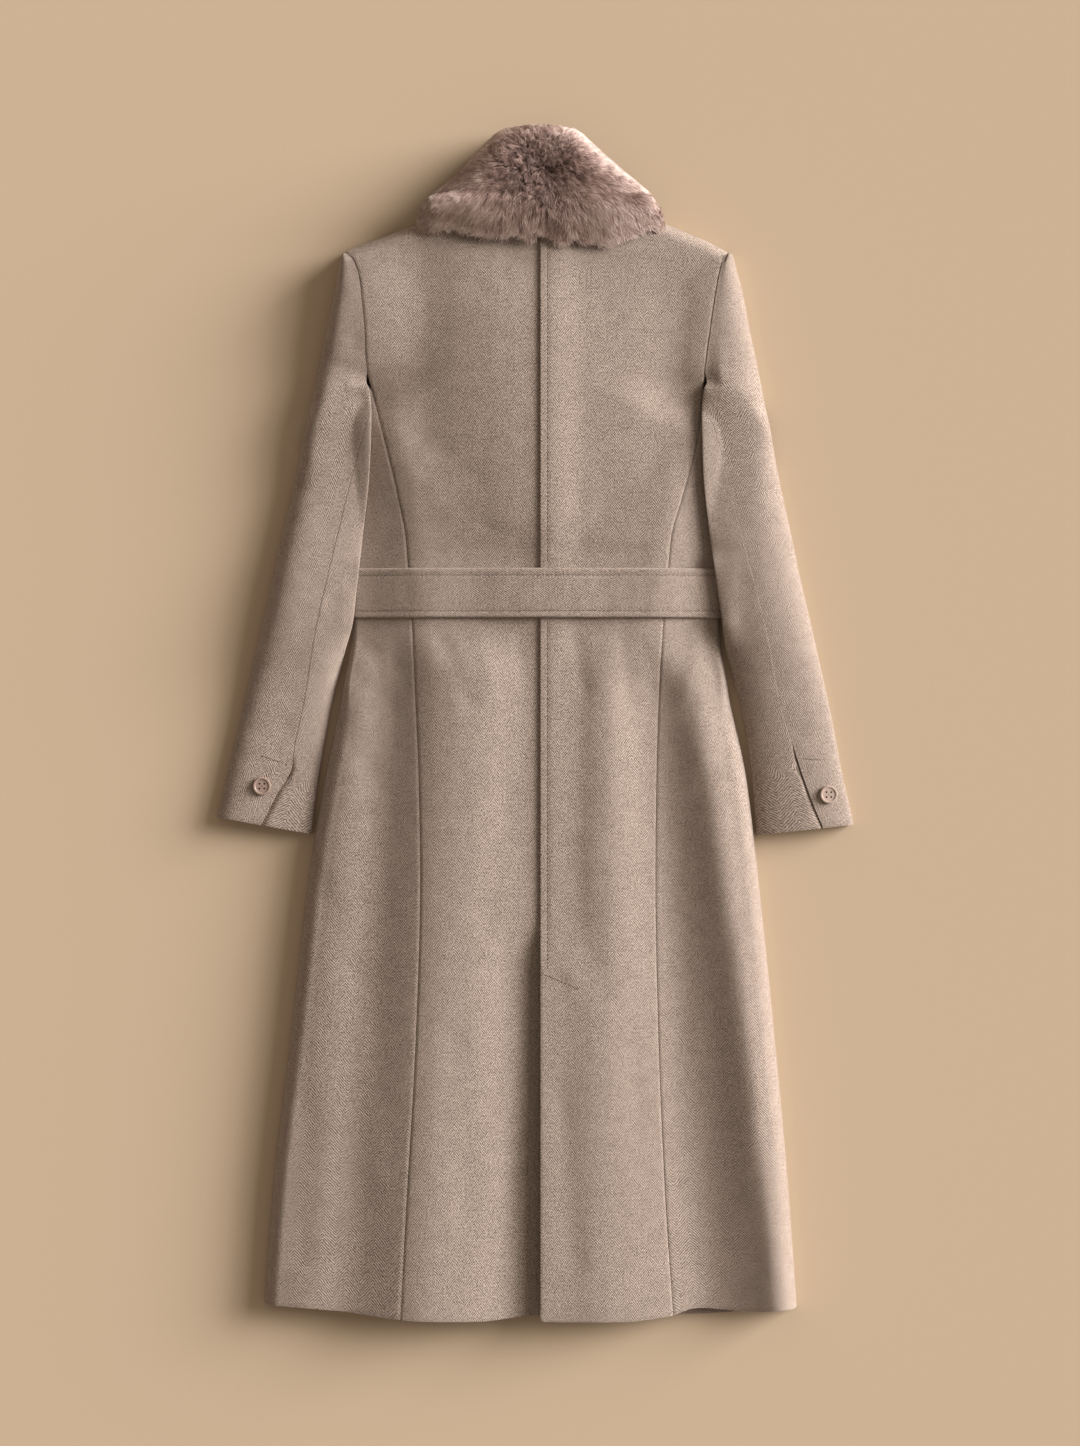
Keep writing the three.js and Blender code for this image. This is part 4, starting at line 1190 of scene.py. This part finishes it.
def sleeve_under_points(form):
    """The under sleeve, from the back seam over the inner fold to the front seam, with the
    strip that slips beneath the cuff vent's tab."""
    vent = CUFF_VENT_Y[form.name]
    y = rows_between(336, CUFF_Y[form.name])[:, None]
    width = form.width(y)
    start = form.seam_share(y) + (GAP / 2) / width
    start = start - (CUFF_UNDERLAP + 1) / width * smooth((vent - y) / 12)
    across = 1 - (1 - np.linspace(0, 1, 30)[None, :]) ** 1.6
    share = mix(start, 1, across)
    upper = form.top(np.broadcast_to(y, share.shape), share)
    beyond = (share - form.seam_share(y)) * width
    upper[..., 2] -= CUFF_DROP * smooth((vent + 26 - y) / 22) * smooth((4 - beyond) / 6)
    turn = 1 - SLEEVE_EDGE / width * (1 - np.cos(np.linspace(0, np.pi / 2, 8)[None, 1:]))
    below = mix(turn[:, -1:], form.front_seam(y) + GAP / 2 / width, np.linspace(0, 1, 14)[None, 1:])
    share = np.concatenate([turn, below], axis=1)
    lower = form.under(np.broadcast_to(y, share.shape), share)
    return np.concatenate([upper, lower], axis=1)


class COAT_OT_sleeves(bpy.types.Operator):
    """Makes both sleeves, each of a top and an under sleeve with a slanting cuff vent"""

    bl_idname = "coat.sleeves"
    bl_label = "Sleeves"

    def execute(self, context):
        for name in ("left", "right"):
            form = SleeveForm(name)
            for part, points in (("top", sleeve_top_points(form)),
                                 ("under", sleeve_under_points(form))):
                cloth_piece(f"cloth-{part}-sleeve-{name}", f"sleeve_{part}_{name}", points,
                            flip=form.side < 0)
        return {"FINISHED"}


# Belt


def body_section(y):
    """The body's outline across a row, from its left side over the back to its right side."""
    left, right = left_side(y), right_side(y)
    turn = round_steps(WAIST_RIM, 9)
    x = np.concatenate([
        left + turn, np.linspace(left + WAIST_RIM, CENTRE - 4, 46)[1:],
        [CENTRE - 1, CENTRE + 4, CENTRE + LAP_WIDTH + 2, CENTRE + LAP_WIDTH + 5],
        np.linspace(CENTRE + LAP_WIDTH + 5, right - WAIST_RIM, 44)[1:], (right - turn)[::-1][1:],
    ])
    lapped = right_back_height(np.maximum(x, CENTRE), y)
    z = np.where(x < CENTRE - 2, left_back_height(x, y), lapped)
    middle = np.abs(x - CENTRE) < 70
    bridge = mix(z[middle].max(), z, np.clip(np.abs(x - CENTRE) / 70, 0, 1) ** 2)
    return x, np.where(middle, np.maximum(z, bridge), z)


def walk_normals(path):
    """Unit normals to the left of a walk along a path of x and z."""
    ahead = np.diff(path, axis=0)
    ahead /= np.linalg.norm(ahead, axis=1)[:, None]
    along = np.concatenate([ahead[:1], ahead[:-1] + ahead[1:], ahead[-1:]])
    along /= np.linalg.norm(along, axis=1)[:, None]
    return np.stack([-along[:, 1], along[:, 0]], axis=1)


def belt_path(y):
    """Middle line of the belt round the body at a row, with its ends lapped at the front."""
    half = BELT_THICK / 2
    off, upper = BELT_CLEAR + half, half + BELT_THICK + 0.4
    x, z = body_section(y)
    body = np.stack([x, z], axis=1)
    normal = walk_normals(np.concatenate([[[x[0], 0]], body, [[x[-1], 0]]]))[1:-1]
    over = body + normal * off
    left, right = x[0], x[-1]
    start = [(BELT_LAP_TO - t, half) for t in np.linspace(0, BELT_LAP_TO - left - 1, 24)]
    start += [(left - off, half)]
    end = [(right + off, half)]
    end += [(t, half) for t in np.linspace(right - 1, BELT_LAP_TO + 16, 14)]
    end += [(BELT_LAP_TO + 4, upper), (5, upper), (BELT_LAP_FROM, upper)]
    return np.concatenate([start, over, end])


class COAT_OT_belt(bpy.types.Operator):
    """Makes the doubled belt round the waist, with rounded and stitched edges"""

    bl_idname = "coat.belt"
    bl_label = "Belt"

    def execute(self, context):
        half_width, half_thick = BELT_WIDTH / 2, BELT_THICK / 2
        across = 31
        flat = np.linspace(-1, 1, across) * (half_width - half_thick)
        turn = np.linspace(0, np.pi, 7)[1:-1]
        bulge = half_thick * np.sin(turn)
        offset = np.concatenate([flat, half_width - half_thick + bulge, flat[::-1],
                                 half_thick - half_width - bulge, flat[:1]])
        level = np.concatenate([np.ones(across), np.cos(turn), -np.ones(across), -np.cos(turn),
                                [1.0]]) * half_thick
        columns = []
        for dy, dz in zip(offset, level):
            path = belt_path(BELT_Y + dy)
            normal = walk_normals(path)
            x = path[:, 0]
            stitched = groove(np.abs(dy) - (half_width - BELT_STITCH_IN), 0.55, 1.4)
            soft = creases(x, np.full(len(x), BELT_Y + dy), BELT_RIPPLES)
            relief = (stitched + np.minimum(soft, 0.5)) * smooth((path[:, 1] - 9) / 6)
            raised = dz + relief * (dz > 0)
            place = path + normal * raised[:, None]
            columns.append(np.stack([place[:, 0], np.full(len(x), BELT_Y + dy), place[:, 1]], 1))
        points = np.stack(columns, axis=0)
        length = walked(points[0])
        uv = np.zeros(points.shape[:2] + (2,))
        uv[..., 0] = walked(np.stack([offset, level], axis=1))[:, None]
        uv[..., 1] = length[None, :]
        obj = closed_piece("cloth-belt", points, uv, wool())
        belongs(obj, "belt")
        return {"FINISHED"}


# Collar


def high_near(x, y, dx, dy):
    """Highest that the back stands near a point."""
    high = np.zeros(np.broadcast(x, y).shape)
    for px in (x - dx, x, x + dx):
        for py in (y - dy, y, y + dy):
            inside = np.minimum(py, shoulder(px) - 0.5)
            both = np.maximum(left_back_height(px, inside), right_back_height(px, inside))
            high = np.maximum(high, both)
    return high


def collar_surface(x, q, shrink=0.0):
    """Row, top and underside of the fall at shares q from its lower to its upper edge."""
    start, end = COLLAR[0]["x"], COLLAR[-1]["x"]
    middle, half = (start + end) / 2, (end - start) / 2
    low, high = collar_bottom(x) + shrink, collar_top(x) - shrink
    y = mix(low, high, q)
    across = 1 - np.abs((x - middle) / half) ** 2.5
    past = smooth((y - shoulder(x) - 16) / 14)
    under = np.maximum(mix(high_near(x, y, 6, 7) + FALL_CLEAR, 0, past), WING_TOP + GAP)
    edge = np.maximum(under + FUR_FRINGE, FUR_EDGE * smooth(q * 1.4))
    crown = np.sqrt(np.clip(across, 0, 1)) * np.sqrt(np.clip(4 * q * (1 - q) + 0.06, 0, 1))
    top = mix(edge, np.maximum(FUR_CROWN, edge), np.clip(crown, 0, 1))
    return y, top, under


class COAT_OT_collar_skin(bpy.types.Operator):
    """Makes the hide that the collar's hair grows from: the fall and the two fronts"""

    bl_idname = "coat.collar_skin"
    bl_label = "Collar Skin"

    def execute(self, context):
        skin = fur_skin("hide under the fur", "#5E463C", "#7A5E52")
        self.fall(skin)
        wing = NECK_OPEN - 4
        for name, near, far in (("left", CENTRE - wing, CENTRE - 0.4),
                                ("right", CENTRE + 0.4, CENTRE + wing)):
            self.front(name, near, far, skin)
        return {"FINISHED"}

    def fall(self, skin):
        """The closed cushion of the fall, a little inside its hair."""
        x = np.linspace(COLLAR[0]["x"] + 7, COLLAR[-1]["x"] - 7, 90)[None, :]
        y, top, under = collar_surface(x, np.linspace(0, 1, 40)[:, None], HIDE_IN)
        x = np.broadcast_to(x, y.shape)
        up = np.stack([x, y, np.maximum(top - HIDE_UNDER, under + 2)], axis=2)
        down = np.stack([x, y, under + GAP], axis=2)[::-1]
        ring = np.concatenate([up, down, up[:1]])
        obj = closed_piece("hide-collar-fall", ring, np.zeros(ring.shape[:2] + (2,)), skin)
        belongs(obj, "collar_back")

    def front(self, name, near, far, skin):
        """A front of the collar: a flat roll with rounded edges from near to far."""
        x = np.linspace(near, far, 40)
        low, high = neckline(x) + 3.5, collar_top(x) - HIDE_UNDER
        t = np.linspace(0, 2 * np.pi, 49)
        squareness = 0.35
        along = 0.5 + 0.5 * np.sign(np.cos(t)) * np.abs(np.cos(t)) ** squareness
        level = 0.5 + 0.5 * np.sign(np.sin(t)) * np.abs(np.sin(t)) ** squareness
        y = mix(low[None, :], high[None, :], along[:, None])
        z = np.broadcast_to((1.2 + level * (WING_TOP - 2.4))[:, None], y.shape)
        ring = np.stack([np.broadcast_to(x[None, :], y.shape), y, z], axis=2)
        uv = np.zeros(ring.shape[:2] + (2,))
        obj = closed_piece(f"hide-collar-front-{name}", ring, uv, skin)
        belongs(obj, f"collar_front_{name}")


HAIR_STEPS = 5
WING_HAIRS = 7000
# Width of a strand's cell in mm, and how far hair closes up to its strand and to its lock
STRAND_CELL, STRAND_GATHER, LOCK_PULL = 3.0, 0.72, 0.22


def hair_mesh(name, paths, thickness, tint, material, rng):
    """Joins one narrow tapered ribbon for each hair path into a single mesh. The UV map holds
    each hair's own tint across and the distance from its root along."""
    count = len(paths)
    along = np.linspace(0, 1, HAIR_STEPS)
    ahead = np.gradient(paths, axis=1)
    side = np.stack([-ahead[..., 1], ahead[..., 0], np.zeros(ahead.shape[:2])], axis=2)
    side /= np.maximum(np.linalg.norm(side, axis=2), 1e-6)[..., None]
    roll = rng.uniform(-0.6, 0.6, (count, 1, 1))
    side = side * np.cos(roll)
    side[..., 2] = np.sin(roll[..., 0])
    width = thickness * ((1 - along[None, :]) ** 0.55 * rng.uniform(0.7, 1.3, (count, 1)) + 0.08)
    left = paths - side * width[..., None] / 2
    right = paths + side * width[..., None] / 2
    points = 2 * HAIR_STEPS - 1
    verts = np.stack([left, right], axis=2).reshape(count, 2 * HAIR_STEPS, 3)[:, :points]
    strip = [(2 * k, 2 * k + 1, 2 * k + 3, 2 * k + 2) for k in range(HAIR_STEPS - 2)]
    faces = [(a, b, c) for a, b, c, _ in strip] + [(a, c, d) for a, _, c, d in strip]
    faces.append((points - 3, points - 2, points - 1))
    faces = (points * np.arange(count)[:, None, None] + np.array(faces)[None]).reshape(-1, 3)
    mesh = bpy.data.meshes.new(name)
    mesh.vertices.add(count * points)
    mesh.vertices.foreach_set("co", (verts * MM).astype(np.float32).ravel())
    mesh.loops.add(len(faces) * 3)
    mesh.loops.foreach_set("vertex_index", faces.astype(np.int32).ravel())
    mesh.polygons.add(len(faces))
    mesh.polygons.foreach_set("loop_start", np.arange(0, len(faces) * 3, 3, dtype=np.int32))
    mesh.update(calc_edges=True)
    mesh.polygons.foreach_set("use_smooth", [True] * len(faces))
    uv = np.empty((count, points, 2))
    uv[..., 0] = tint[:, None]
    uv[..., 1] = np.repeat(along, 2)[:points]
    layer = mesh.uv_layers.new(name="UVMap")
    layer.data.foreach_set("uv", uv.reshape(-1, 2)[faces.ravel()].astype(np.float32).ravel())
    mesh.materials.append(material)
    obj = bpy.data.objects.new(name, mesh)
    bpy.context.scene.collection.objects.link(obj)
    belongs(obj)


def turned(vector, angle):
    """Plan vectors turned by an angle each."""
    cos, sin = np.cos(angle), np.sin(angle)
    return np.stack(
        [vector[:, 0] * cos - vector[:, 1] * sin, vector[:, 0] * sin + vector[:, 1] * cos], axis=1
    )


FUR_START, FUR_END = COLLAR[0]["x"] + 4, COLLAR[-1]["x"] - 4
SWIRL = np.array([6.0, 580.0])


def fall_surface(x, y):
    """Height that a hair lies at over the fall, which drops off past its edges."""
    inside = np.clip(x, FUR_START, FUR_END)
    low, high = collar_bottom(inside), collar_top(inside)
    q = (y - low) / np.maximum(high - low, 1)
    _, top, _ = collar_surface(inside, np.clip(q, 0, 1))
    below = np.clip(low - y, 0, 30)
    above = np.clip(y - high, 0, 20)
    return top - 5 - 0.5 * below - 1.5 * above - 1.2 * np.abs(x - inside)


def kept_in(x, y, hang):
    """Draws hair back that runs past the collar's outline, and lets locks hang a little."""
    inside = np.clip(x, FUR_START, FUR_END)
    low, high = collar_bottom(inside) - hang, collar_top(inside) - 1.0
    x = inside + (x - inside) * 0.35
    y = np.where(y > high, high + (y - high) * 0.22, y)
    return x, np.where(y < low, low + (y - low) * 0.45, y)


def unit(vectors, least=1e-6):
    """Plan vectors made one long."""
    return vectors / np.maximum(np.linalg.norm(vectors, axis=1), least)[:, None]


def heading(points, noise):
    """Which way hair at some points lies, and how calm it is: away from the swirl, down below
    it and tangled near its middle."""
    away = points - SWIRL
    distance = np.linalg.norm(away, axis=1)
    down = np.clip((SWIRL[1] - 8 - points[:, 1]) / 40, 0, 1)[:, None]
    aim = unit(unit(away, 4) * (1 - 0.55 * down) + np.array([0.0, -0.75]) * down)
    wild = 0.16 + 1.1 * np.exp(-((distance / 30) ** 2))
    return turned(aim, noise * wild), smooth((distance - 8) / 60)


def nearest(roots, centres, batch=5000):
    """Index of the lock whose centre is nearest to each root, in batches to spare memory."""
    chosen = np.empty(len(roots), int)
    for k in range(0, len(roots), batch):
        gap = roots[k : k + batch, None, :] - centres[None, :, :]
        chosen[k : k + batch] = (gap**2).sum(axis=2).argmin(axis=1)
    return chosen


def fur_layer(name, spec, material, rng):
    """One layer of the fall's hair: roots between two shares of its height, in locks that are
    made of fine pointed strands."""
    count = bpy.context.scene.fur_settings.strands
    x = rng.uniform(FUR_START, FUR_END, count * 2)
    q = rng.uniform(spec["low"], spec["high"], count * 2)
    keep = rng.uniform(0, 112, count * 2) < collar_top(x) - collar_bottom(x) + 8
    x, q = x[keep][:count], q[keep][:count]
    y, _, _ = collar_surface(x, q, 3.0)
    roots = np.stack([x, y], axis=1)

    locks = spec["locks"]
    lock_x = rng.uniform(FUR_START, FUR_END, locks)
    lock_q = rng.uniform(spec["low"] - 0.1, spec["high"], locks)
    centre = np.stack([lock_x, collar_surface(lock_x, lock_q, 3.0)[0]], axis=1)
    lock = nearest(roots, centre)

    cell_x, cell_y = np.floor(x / STRAND_CELL), np.floor(y / STRAND_CELL)
    names, strand = np.unique((cell_x * 131 + cell_y * 7919).astype(int), return_inverse=True)
    strand = strand.ravel()
    middle = np.stack([np.bincount(strand, roots[:, c]) for c in (0, 1)], axis=1)
    middle /= np.bincount(strand)[:, None]

    lock_aim, _ = heading(centre, rng.normal(0, 1.0, locks))
    fine_aim, calm = heading(middle, rng.normal(0, 1.0, len(names)))
    aim = 0.55 * lock_aim[lock] + 0.45 * fine_aim[strand]
    aim = unit(aim + rng.normal(0, 0.10, aim.shape))
    calm = calm[strand]
    length = mix(spec["short"], spec["long"], calm)
    length = length * rng.uniform(0.8, 1.15, len(names))[strand] * rng.uniform(0.8, 1.1, len(x))

    t = np.linspace(0, 1, HAIR_STEPS)[None, :]
    turns = rng.uniform(0.35, 0.75, locks)[lock] * mix(1.9, 1.0, calm)
    phase = rng.uniform(0, 6.28, locks)[lock] + rng.normal(0, 0.7, len(names))[strand]
    size = rng.uniform(0.6, 1.6, len(names))[strand] * mix(1.5, 1.3, calm)
    wave = np.sin(phase[:, None] + 6.28 * turns[:, None] * t) - np.sin(phase)[:, None]
    wave = wave * size[:, None]
    gather = STRAND_GATHER * t**1.2
    off = roots - middle[strand]
    pull = (centre[lock] - roots) * LOCK_PULL
    run = aim * length[:, None]
    px = x[:, None] + run[:, :1] * t - aim[:, 1:] * wave - off[:, :1] * gather
    py = y[:, None] + run[:, 1:] * t + aim[:, :1] * wave - off[:, 1:] * gather
    px, py = px + pull[:, :1] * t**1.5, py + pull[:, 1:] * t**1.5
    hang = rng.uniform(0, 1, locks)[lock] ** 2 * 12 + rng.uniform(0, 4.0, len(names))[strand]
    px, py = kept_in(px, py, hang[:, None])
    stand = rng.uniform(0.6, 1.0, len(names))[strand] * mix(spec["stand"], spec["lie"], calm)
    rise_up = stand[:, None] * np.sin(np.pi * 0.62 * t) - 3.0 * (1 - t)
    pz = np.maximum(fall_surface(px, py) + rise_up, 0.5)
    paths = np.stack([px, py, pz], axis=2)

    edge = smooth((q - 0.74) / 0.2) * 0.34 + smooth((0.3 - q) / 0.3) * 0.10
    tint = rng.uniform(0.12, 0.62, len(names))[strand] + rng.normal(0, 0.10, len(x))
    tint = tint + rng.normal(0, 0.08, locks)[lock] + edge - 0.50 * (1 - calm) + 0.17 + spec["tint"]
    width = bpy.context.scene.fur_settings.width / MM
    hair_mesh(name, paths, width, np.clip(tint, 0, 1), material, rng)


class COAT_OT_collar_fur(bpy.types.Operator):
    """Grows the collar's hair: short and curly round the centre back, slanting out at the sides,
    in long locks along the lower edge and in a smooth pale rim at the top"""

    bl_idname = "coat.collar_fur"
    bl_label = "Collar Fur"

    def execute(self, context):
        c, settings = colours(), context.scene.fur_settings
        material = dyed_fur("dyed fox fur", c.fur_tip, c.fur_root, c.fur_pale)
        rng = np.random.default_rng(settings.seed)
        layers = (
            {"low": 0.02, "high": 0.50, "short": 16, "long": 30, "locks": 120, "stand": 5,
             "lie": 3, "tint": 0.02},
            {"low": 0.20, "high": 0.70, "short": 11, "long": 26, "locks": 150, "stand": 6,
             "lie": 3, "tint": -0.02},
            {"low": 0.45, "high": 0.92, "short": 10, "long": 18, "locks": 150, "stand": 6,
             "lie": 2, "tint": 0.0},
            {"low": 0.70, "high": 1.0, "short": 9, "long": 12, "locks": 110, "stand": 3,
             "lie": 1.5, "tint": 0.10},
        )
        for k, spec in enumerate(layers):
            fur_layer(f"fur-fall-{k + 1}", spec, material, rng)
        self.wings(material, rng)
        return {"FINISHED"}

    def wings(self, material, rng):
        """Short hair all along the outer edge of the two fronts of the collar."""
        count = WING_HAIRS
        wing = NECK_OPEN - 6
        x = rng.uniform(CENTRE - wing, CENTRE + wing, count)
        y = collar_top(x) - 9 - rng.uniform(0, 10, count) ** 1.2
        z = rng.uniform(1.5, WING_TOP - 2, count)
        slope = (collar_top(x + 2) - collar_top(x - 2)) / 4
        aim = unit(np.stack([-slope, np.ones(count)], axis=1))
        aim = turned(aim, rng.normal(0, 0.35, count))
        t = np.linspace(0, 1, HAIR_STEPS)[None, :]
        length = rng.uniform(8, 13, count)[:, None]
        px = x[:, None] + aim[:, :1] * length * t
        py = y[:, None] + aim[:, 1:] * length * t
        px, py = kept_in(px, py, 0.0)
        pz = np.maximum(z[:, None] + rng.uniform(-2, 2, count)[:, None] * t, 0.5)
        tint = np.clip(rng.normal(0.4, 0.15, count), 0, 1)
        width = bpy.context.scene.fur_settings.width / MM
        hair_mesh("fur-fronts", np.stack([px, py, pz], axis=2), width, tint, material, rng)


# Buttons and sewing


class COAT_OT_buttons(bpy.types.Operator):
    """Finishes the two cuff buttons and sews each on with crossed threads"""

    bl_idname = "coat.buttons"
    bl_label = "Buttons"

    def execute(self, context):
        thread = thread_material()
        # Painted light: the right button is given paler colours than the left, as if lit from the
        # right; both are the same resin.
        for name, colour, shade in (
            ("left", colours().button, "#8F776A"),
            ("right", "#B7A295", "#A08A7D"),
        ):
            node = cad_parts[f"button_{name}"]
            resin = cast_resin(f"cast resin button {name}", colour, shade)
            node.data.materials.clear()
            node.data.materials.append(resin)
            low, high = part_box(f"button_{name}")
            centre = (low + high) / 2
            faces = [(p.area, p.normal.copy()) for p in node.data.polygons if p.normal.z > 0.6]
            normal = sum((n * a for a, n in faces), Vector())
            normal.normalize()
            across = normal.cross(Vector((0, 1, 0))).normalized()
            along = normal.cross(across).normalized()
            bm = bmesh.new()
            middle = centre + normal * THREAD_OVER * MM
            for sign in (1, -1):
                end = (across * sign + along) * THREAD_REACH * MM
                add_stitch(bm, middle + end, middle - end, normal, THREAD_RADIUS * MM)
            belongs(new_object(f"button-thread-{name}", bm, thread))
        return {"FINISHED"}


def thread_material():
    found = bpy.data.materials.get("polyester thread")
    return found or polyester_thread("polyester thread", "#6C5A4E", "#4B3B31")


def add_stitch(bm, a, b, up, radius):
    """One stitch: a small rounded bead of thread from a to b, half sunk in the cloth."""
    axis = (b - a).normalized()
    side = axis.cross(up).normalized()
    turn = Matrix((side, axis, side.cross(axis))).transposed().to_4x4()
    size = Matrix.Diagonal((radius, (b - a).length / 2, radius, 1.0))
    bmesh.ops.create_uvsphere(
        bm, u_segments=6, v_segments=5, radius=1.0,
        matrix=Matrix.Translation((a + b) / 2) @ turn @ size,
    )


def sew(name, line, normals=None):
    """A row of topstitches along a line of points on the cloth, which faces up by default."""
    normals = np.tile([0, 0, 1.0], (len(line), 1)) if normals is None else normals
    s = sizes()
    stitch, radius = s.stitch / MM, s.thread / MM / 2
    at = walked(line)
    period = stitch * 1.22
    bm = bmesh.new()
    for k in range(int(at[-1] / period)):
        first = k * period
        ends = [np.array([np.interp(d, at, line[:, c]) for c in range(3)])
                for d in (first, first + stitch)]
        up = Vector([np.interp(first, at, normals[:, c]) for c in range(3)]).normalized()
        add_stitch(bm, Vector(ends[0] * MM), Vector(ends[1] * MM), up, radius * MM)
    belongs(new_object(name, bm, thread_material()))


class COAT_OT_topstitching(bpy.types.Operator):
    """Sews the rows of topstitching: the centre seam, the vent, both belt edges and the cuffs"""

    bl_idname = "coat.topstitching"
    bl_label = "Topstitching"

    def execute(self, context):
        y = np.linspace(506, VENT_TOP + 2, 300)
        x = np.full(len(y), CENTRE + STITCH_IN)
        clear = np.abs(y - BELT_Y) > BELT_WIDTH / 2 + 2
        for part, chosen in (("upper", (y > BELT_Y) & clear), ("lower", (y < BELT_Y) & clear)):
            px, py = x[chosen], y[chosen]
            z = right_back_height(px, py) + creases(px, py, BACK_CREASES) - 0.1
            sew(f"stitching-centre-{part}", np.stack([px, py, z], axis=1))
        x = np.linspace(CENTRE + 1, CENTRE + 43, 60)
        y = VENT_TOP + 1 - (x - CENTRE) * TACK_SLOPE
        z = right_back_height(x, y) + creases(x, y, BACK_CREASES)
        sew("stitching-vent", np.stack([x, y, z], axis=1))
        for name, sign in (("upper", 1), ("lower", -1)):
            dy = sign * (BELT_WIDTH / 2 - BELT_STITCH_IN)
            path = belt_path(BELT_Y + dy)
            normal = walk_normals(path)
            soft = creases(path[:, 0], np.full(len(path), BELT_Y + dy), BELT_RIPPLES)
            seen = path[:, 1] > 12
            place = path + normal * (BELT_THICK / 2 - 0.1 + np.minimum(soft, 0.5))[:, None]
            line = np.stack([place[:, 0], np.full(len(path), BELT_Y + dy), place[:, 1]], axis=1)
            normals = np.stack([normal[:, 0], np.zeros(len(path)), normal[:, 1]], axis=1)
            sew(f"stitching-belt-{name}", line[seen], normals[seen])
        for name, row in CUFF_STITCHES.items():
            form = SleeveForm(name)
            t = np.linspace(0, 1, 30)
            target_x, target_y = mix(row["x0"], row["x1"], t), mix(row["y0"], row["y1"], t)
            station = target_y.copy()
            for _ in range(12):
                share = target_x - form.outer(station)
                share = share / (form.inner_at(station) - form.outer(station))
                station = target_y + form.slant(station) * share
            points = form.top(station[None, :], share[None, :])[0]
            points[:, 2] += 0.2
            sew(f"stitching-cuff-{name}", points)
        return {"FINISHED"}


# Stage

# Camera's sensor in mm, then in metres the span that the view takes in, at which level, and
# how far right of the middle it looks
SENSOR, VIEW_SPAN, VIEW_LEVEL, VIEW_X = 36.0, 1.518, 0.022, 0.0047


class COAT_OT_stage(bpy.types.Operator):
    """Lays the pale floor, hangs the soft lights and sets the camera straight above the coat"""

    bl_idname = "coat.stage"
    bl_label = "Stage"

    def execute(self, context):
        settings = context.scene.stage_settings
        bm = bmesh.new()
        bmesh.ops.create_grid(bm, x_segments=1, y_segments=1, size=6.0)
        floor = new_object("floor", bm, matt_paper("seamless paper", colours().floor))

        world = bpy.data.worlds.new("soft studio")
        world.use_nodes = True
        background = world.node_tree.nodes["Background"]
        background.inputs["Color"].default_value = (1.0, 0.86, 0.72, 1)
        background.inputs["Strength"].default_value = settings.fill
        context.scene.world = world

        turn = settings.key_turn
        for name, strength, height, softness in (
            ("key light", settings.key, settings.key_height, settings.softness),
            ("low side light", settings.side, settings.side_height, settings.side_softness),
        ):
            light = bpy.data.lights.new(name, "SUN")
            light.angle = softness
            light.energy = strength
            light.color = (1.0, 0.99, 0.98)
            lamp = bpy.data.objects.new(name, light)
            toward = Vector((np.cos(turn), np.sin(turn), np.tan(height)))
            lamp.location = toward * 3
            lamp.rotation_euler = toward.to_track_quat("Z", "Y").to_euler()
            context.scene.collection.objects.link(lamp)
        context.scene.view_settings.view_transform = "Standard"
        context.scene.view_settings.look = "None"

        camera = bpy.data.cameras.new("camera")
        camera.sensor_width = SENSOR
        camera.lens = SENSOR * (settings.camera_height - VIEW_LEVEL) / VIEW_SPAN
        camera.clip_end = 50.0
        view = bpy.data.objects.new("camera", camera)
        view.location = (VIEW_X, 0.0, settings.camera_height)
        view.rotation_euler = (0.0, 0.0, 0.0)
        context.scene.collection.objects.link(view)
        context.scene.camera = view
        return {"FINISHED"}


STEPS = (
    COAT_OT_stage,
    COAT_OT_fronts,
    COAT_OT_centre_backs,
    COAT_OT_side_backs,
    COAT_OT_sleeves,
    COAT_OT_belt,
    COAT_OT_collar_skin,
    COAT_OT_collar_fur,
    COAT_OT_buttons,
    COAT_OT_topstitching,
)


class COAT_PT_panel(bpy.types.Panel):
    """Lists the coat's settings and the steps that build it"""

    bl_idname = "COAT_PT_panel"
    bl_label = "Coat"
    bl_space_type = "VIEW_3D"
    bl_region_type = "UI"
    bl_category = "Coat"

    def draw(self, context):
        scene = context.scene
        for group in (scene.coat_colours, scene.coat_sizes, scene.fur_settings,
                      scene.stage_settings):
            box = self.layout.box()
            for key in group.__annotations__:
                box.prop(group, key)
        for step in STEPS:
            self.layout.operator(step.bl_idname)


GROUPS = {
    "coat_colours": CoatColours,
    "coat_sizes": CoatSizes,
    "fur_settings": FurSettings,
    "stage_settings": StageSettings,
}


def register():
    for name, group in GROUPS.items():
        bpy.utils.register_class(group)
        setattr(bpy.types.Scene, name, bpy.props.PointerProperty(type=group))
    for step in STEPS:
        bpy.utils.register_class(step)
    bpy.utils.register_class(COAT_PT_panel)


def unregister():
    bpy.utils.unregister_class(COAT_PT_panel)
    for step in reversed(STEPS):
        bpy.utils.unregister_class(step)
    for name, group in GROUPS.items():
        delattr(bpy.types.Scene, name)
        bpy.utils.unregister_class(group)


def main():
    register()
    for step in STEPS:
        area, action = step.bl_idname.split(".")
        getattr(getattr(bpy.ops, area), action)()
    bpy.context.view_layer.update()


if __name__ == "__main__":
    main()
